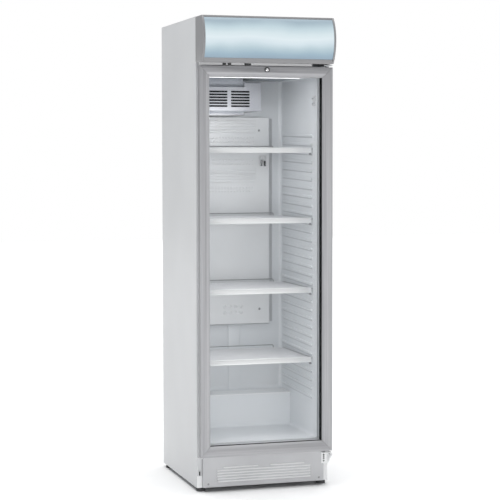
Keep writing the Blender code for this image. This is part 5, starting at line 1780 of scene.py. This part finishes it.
@dataclass
class Feet:
    """Four screw feet: a threaded stem on a domed, grooved foot."""

    radius: float = 0.021
    stem: float = 0.005
    seat: float = 0.0157

    def build(self) -> None:
        """Turns each foot from one profile."""
        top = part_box("foot_front_left")[1].z
        threads = []
        height = self.seat
        while height < top - 0.003:
            threads += [(self.stem, height), (self.stem * 0.86, height + 0.0012)]
            height += 0.0024
        profile = [
            (0.0, 0.0),
            (self.radius * 0.94, 0.0),
            (self.radius, 0.0012),
            (self.radius, 0.0036),
            (self.radius * 0.97, 0.0044),
            (self.radius, 0.0052),
            (self.radius * 0.98, 0.0080),
            (self.radius * 0.90, 0.0112),
            (self.radius * 0.72, 0.0142),
            (self.radius * 0.50, self.seat),
            *threads,
            (self.stem * 0.8, top),
            (0.0, top),
        ]
        for depth in ("front", "rear"):
            for side in ("left", "right"):
                node = f"foot_{depth}_{side}"
                low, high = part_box(node)
                middle = (low + high) / 2
                foot = Bench.lathe(f"{node}_turned", profile, (middle.x, middle.y, low.z), Axis.Z, 36)
                settle(Bench.smooth(foot), FOOT_RUBBER, f"{depth}_{side}_foot", "black_plastic", node)


@dataclass
class Machinery:
    """What stands in the compartment at the lower rear."""

    edge: float = 0.001

    def build(self) -> None:
        """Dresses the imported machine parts, rounding the ones that show."""
        compressor = Bench.soften(Bench.copy_of("compressor", "compressor_shell"), 0.006, 4, 25)
        settle(compressor, BLACK_ENAMEL, "cabinet", "black_enamel", "compressor")
        pan = Bench.soften(Bench.copy_of("condensate_pan", "condensate_dish"), self.edge)
        settle(pan, BLACK_PLASTIC, "cabinet", "black_plastic", "condensate_pan")
        shroud = Bench.soften(Bench.copy_of("condenser_fan_shroud", "fan_shroud"), 0.0006)
        settle(shroud, ZINC, "cabinet", "zinc_steel", "condenser_fan_shroud")
        nodes = frame["nodes"]
        FIN_ALUMINIUM.dress(nodes["condenser"])
        BLACK_PLASTIC.dress(nodes["condenser_fan"])
        COPPER.dress(nodes["discharge_pipe"])


@dataclass
class Studio:
    """A white floor, soft light and the camera."""

    floor_size: float = 40.0
    focal: float = 1562.9
    picture: float = 500.0
    yaw: float = math.radians(17.070)
    pitch: float = math.radians(-3.353)
    roll: float = math.radians(-0.091)
    eye: Triple = (-2.0332, -6.6733, 1.4335)
    sensor: float = 36.0
    sky_strength: float = 0.40
    noon_strength: float = 2.9
    noon_spread: float = math.radians(50.0)
    duct_beam: float = math.radians(145.0)
    bays: tuple[Pair, ...] = ((1.455, 0.20), (1.147, 0.18), (0.839, 0.18), (0.531, 0.03))

    def build(self) -> None:
        """Sets the studio up."""
        self.floor()
        self.sky()
        self.lamps()
        self.camera()
        bpy.context.scene.view_settings.view_transform = "Standard"

    def floor(self) -> None:
        """A wide pale floor."""
        bpy.ops.object.select_all(action="DESELECT")
        bpy.ops.mesh.primitive_plane_add(size=self.floor_size, location=(0, 0, -0.0005))
        floor = Bench.named("studio_floor")
        bpy.ops.object.transform_apply(location=True)
        paint = Finish("studio_floor", ((0.93, 0.93, 0.93), (0.95, 0.95, 0.95)), gloss=(0.8, 0.9), relief=0.0)
        paint.dress(floor)

    def sky(self) -> None:
        """White to the camera, and a softer grey to everything else."""
        world = bpy.data.worlds.new("studio_sky")
        bpy.context.scene.world = world
        world.use_nodes = True
        tree = world.node_tree
        shown = tree.nodes["Background"]
        shown.inputs["Color"].default_value = (1.0, 1.0, 1.0, 1.0)
        shown.inputs["Strength"].default_value = 1.0
        soft = tree.nodes.new("ShaderNodeBackground")
        soft.inputs["Color"].default_value = (0.97, 0.985, 1.0, 1.0)
        soft.inputs["Strength"].default_value = self.sky_strength
        ray = tree.nodes.new("ShaderNodeLightPath")
        mix = tree.nodes.new("ShaderNodeMixShader")
        tree.links.new(ray.outputs["Is Camera Ray"], mix.inputs[0])
        tree.links.new(soft.outputs[0], mix.inputs[1])
        tree.links.new(shown.outputs[0], mix.inputs[2])
        tree.links.new(mix.outputs[0], tree.nodes["World Output"].inputs["Surface"])

    def lamp(
        self, name: str, place: Triple, target: Triple, size: Pair, power: float, spread: float = math.pi
    ) -> None:
        """A soft box aimed at a point.

        Args:
            name: The light's name.
            place: Where it stands.
            target: What it is aimed at.
            size: Its width and height.
            power: Its power in watts.
            spread: The angle of its beam.
        """
        light = bpy.data.lights.new(name, "AREA")
        light.shape = "RECTANGLE"
        light.size, light.size_y = size
        light.energy = power
        light.spread = spread
        holder = bpy.data.objects.new(name, light)
        bpy.context.scene.collection.objects.link(holder)
        aim = (Vector(target) - Vector(place)).to_track_quat("-Z", "Y")
        holder.matrix_world = Matrix.Translation(place) @ aim.to_matrix().to_4x4()
        holder.visible_camera = False

    def lamps(self) -> None:
        """A soft light from straight above, which keeps the floor white, and a front fill."""
        light = bpy.data.lights.new("overhead_light", "SUN")
        light.energy = self.noon_strength
        light.angle = self.noon_spread
        holder = bpy.data.objects.new("overhead_light", light)
        bpy.context.scene.collection.objects.link(holder)
        self.lamp("front_fill", (-0.6, -5.0, 0.5), (0.0, 0.0, 0.8), (3.0, 1.0), 28.0)
        self.lamp("side_fill", (-1.40, 0.0, 2.1), (-0.2975, 0.0, 1.75), (0.9, 0.6), 1.1)
        self.lamp("ceiling_glow", (-0.03, -0.148, 1.787), (-0.03, -0.148, 0.0), (0.42, 0.09), 0.32)
        for level, power in self.bays:
            self.lamp("bay_glow", (-0.12, -0.03, level), (-0.12, -0.03, 0.0), (0.22, 0.34), power)
            middle = level - 0.14
            self.lamp("bay_wash", (-0.18, -0.12, middle), (-0.18, 1.0, middle), (0.12, 0.20), 0.03)
        self.lamp("front_glow", (0.02, -0.236, 0.98), (0.02, 1.0, 0.98), (0.42, 1.5), 1.30)
        self.lamp("duct_glow", (-0.13, -0.170, 1.60), (-0.11, 0.24, 1.54), (0.26, 0.10), 0.42, self.duct_beam)

    def camera(self) -> None:
        """The camera, matched to the picture's viewing angle."""
        lens = bpy.data.cameras.new("picture_camera")
        lens.sensor_width = self.sensor
        lens.lens = self.focal / self.picture * self.sensor
        flat = math.cos(self.pitch)
        ahead = Vector((math.sin(self.yaw) * flat, math.cos(self.yaw) * flat, math.sin(self.pitch)))
        across = Vector((math.cos(self.yaw), -math.sin(self.yaw), 0.0))
        above = across.cross(ahead)
        right = across * math.cos(self.roll) + above * math.sin(self.roll)
        up = above * math.cos(self.roll) - across * math.sin(self.roll)
        camera = bpy.data.objects.new("picture_camera", lens)
        bpy.context.scene.collection.objects.link(camera)
        pose = Matrix((right, up, -ahead)).transposed().to_4x4()
        pose.translation = self.eye
        camera.matrix_world = pose
        bpy.context.scene.camera = camera


def main() -> None:
    """Builds every sub-assembly in order."""
    logging.basicConfig(level=logging.INFO, format="%(message)s")
    for assembly in (
        Studio(),
        Cabinet(),
        Liner(),
        AirDuct(),
        Evaporator(),
        CeilingLamp(),
        WireShelf(),
        WallFitting(),
        Canopy(),
        ControlStrip(),
        Door(),
        KickGrille(),
        Hinges(),
        Feet(),
        Machinery(),
    ):
        LOG.info("building %s", type(assembly).__name__)
        assembly.build()


if __name__ == "__main__":
    main()
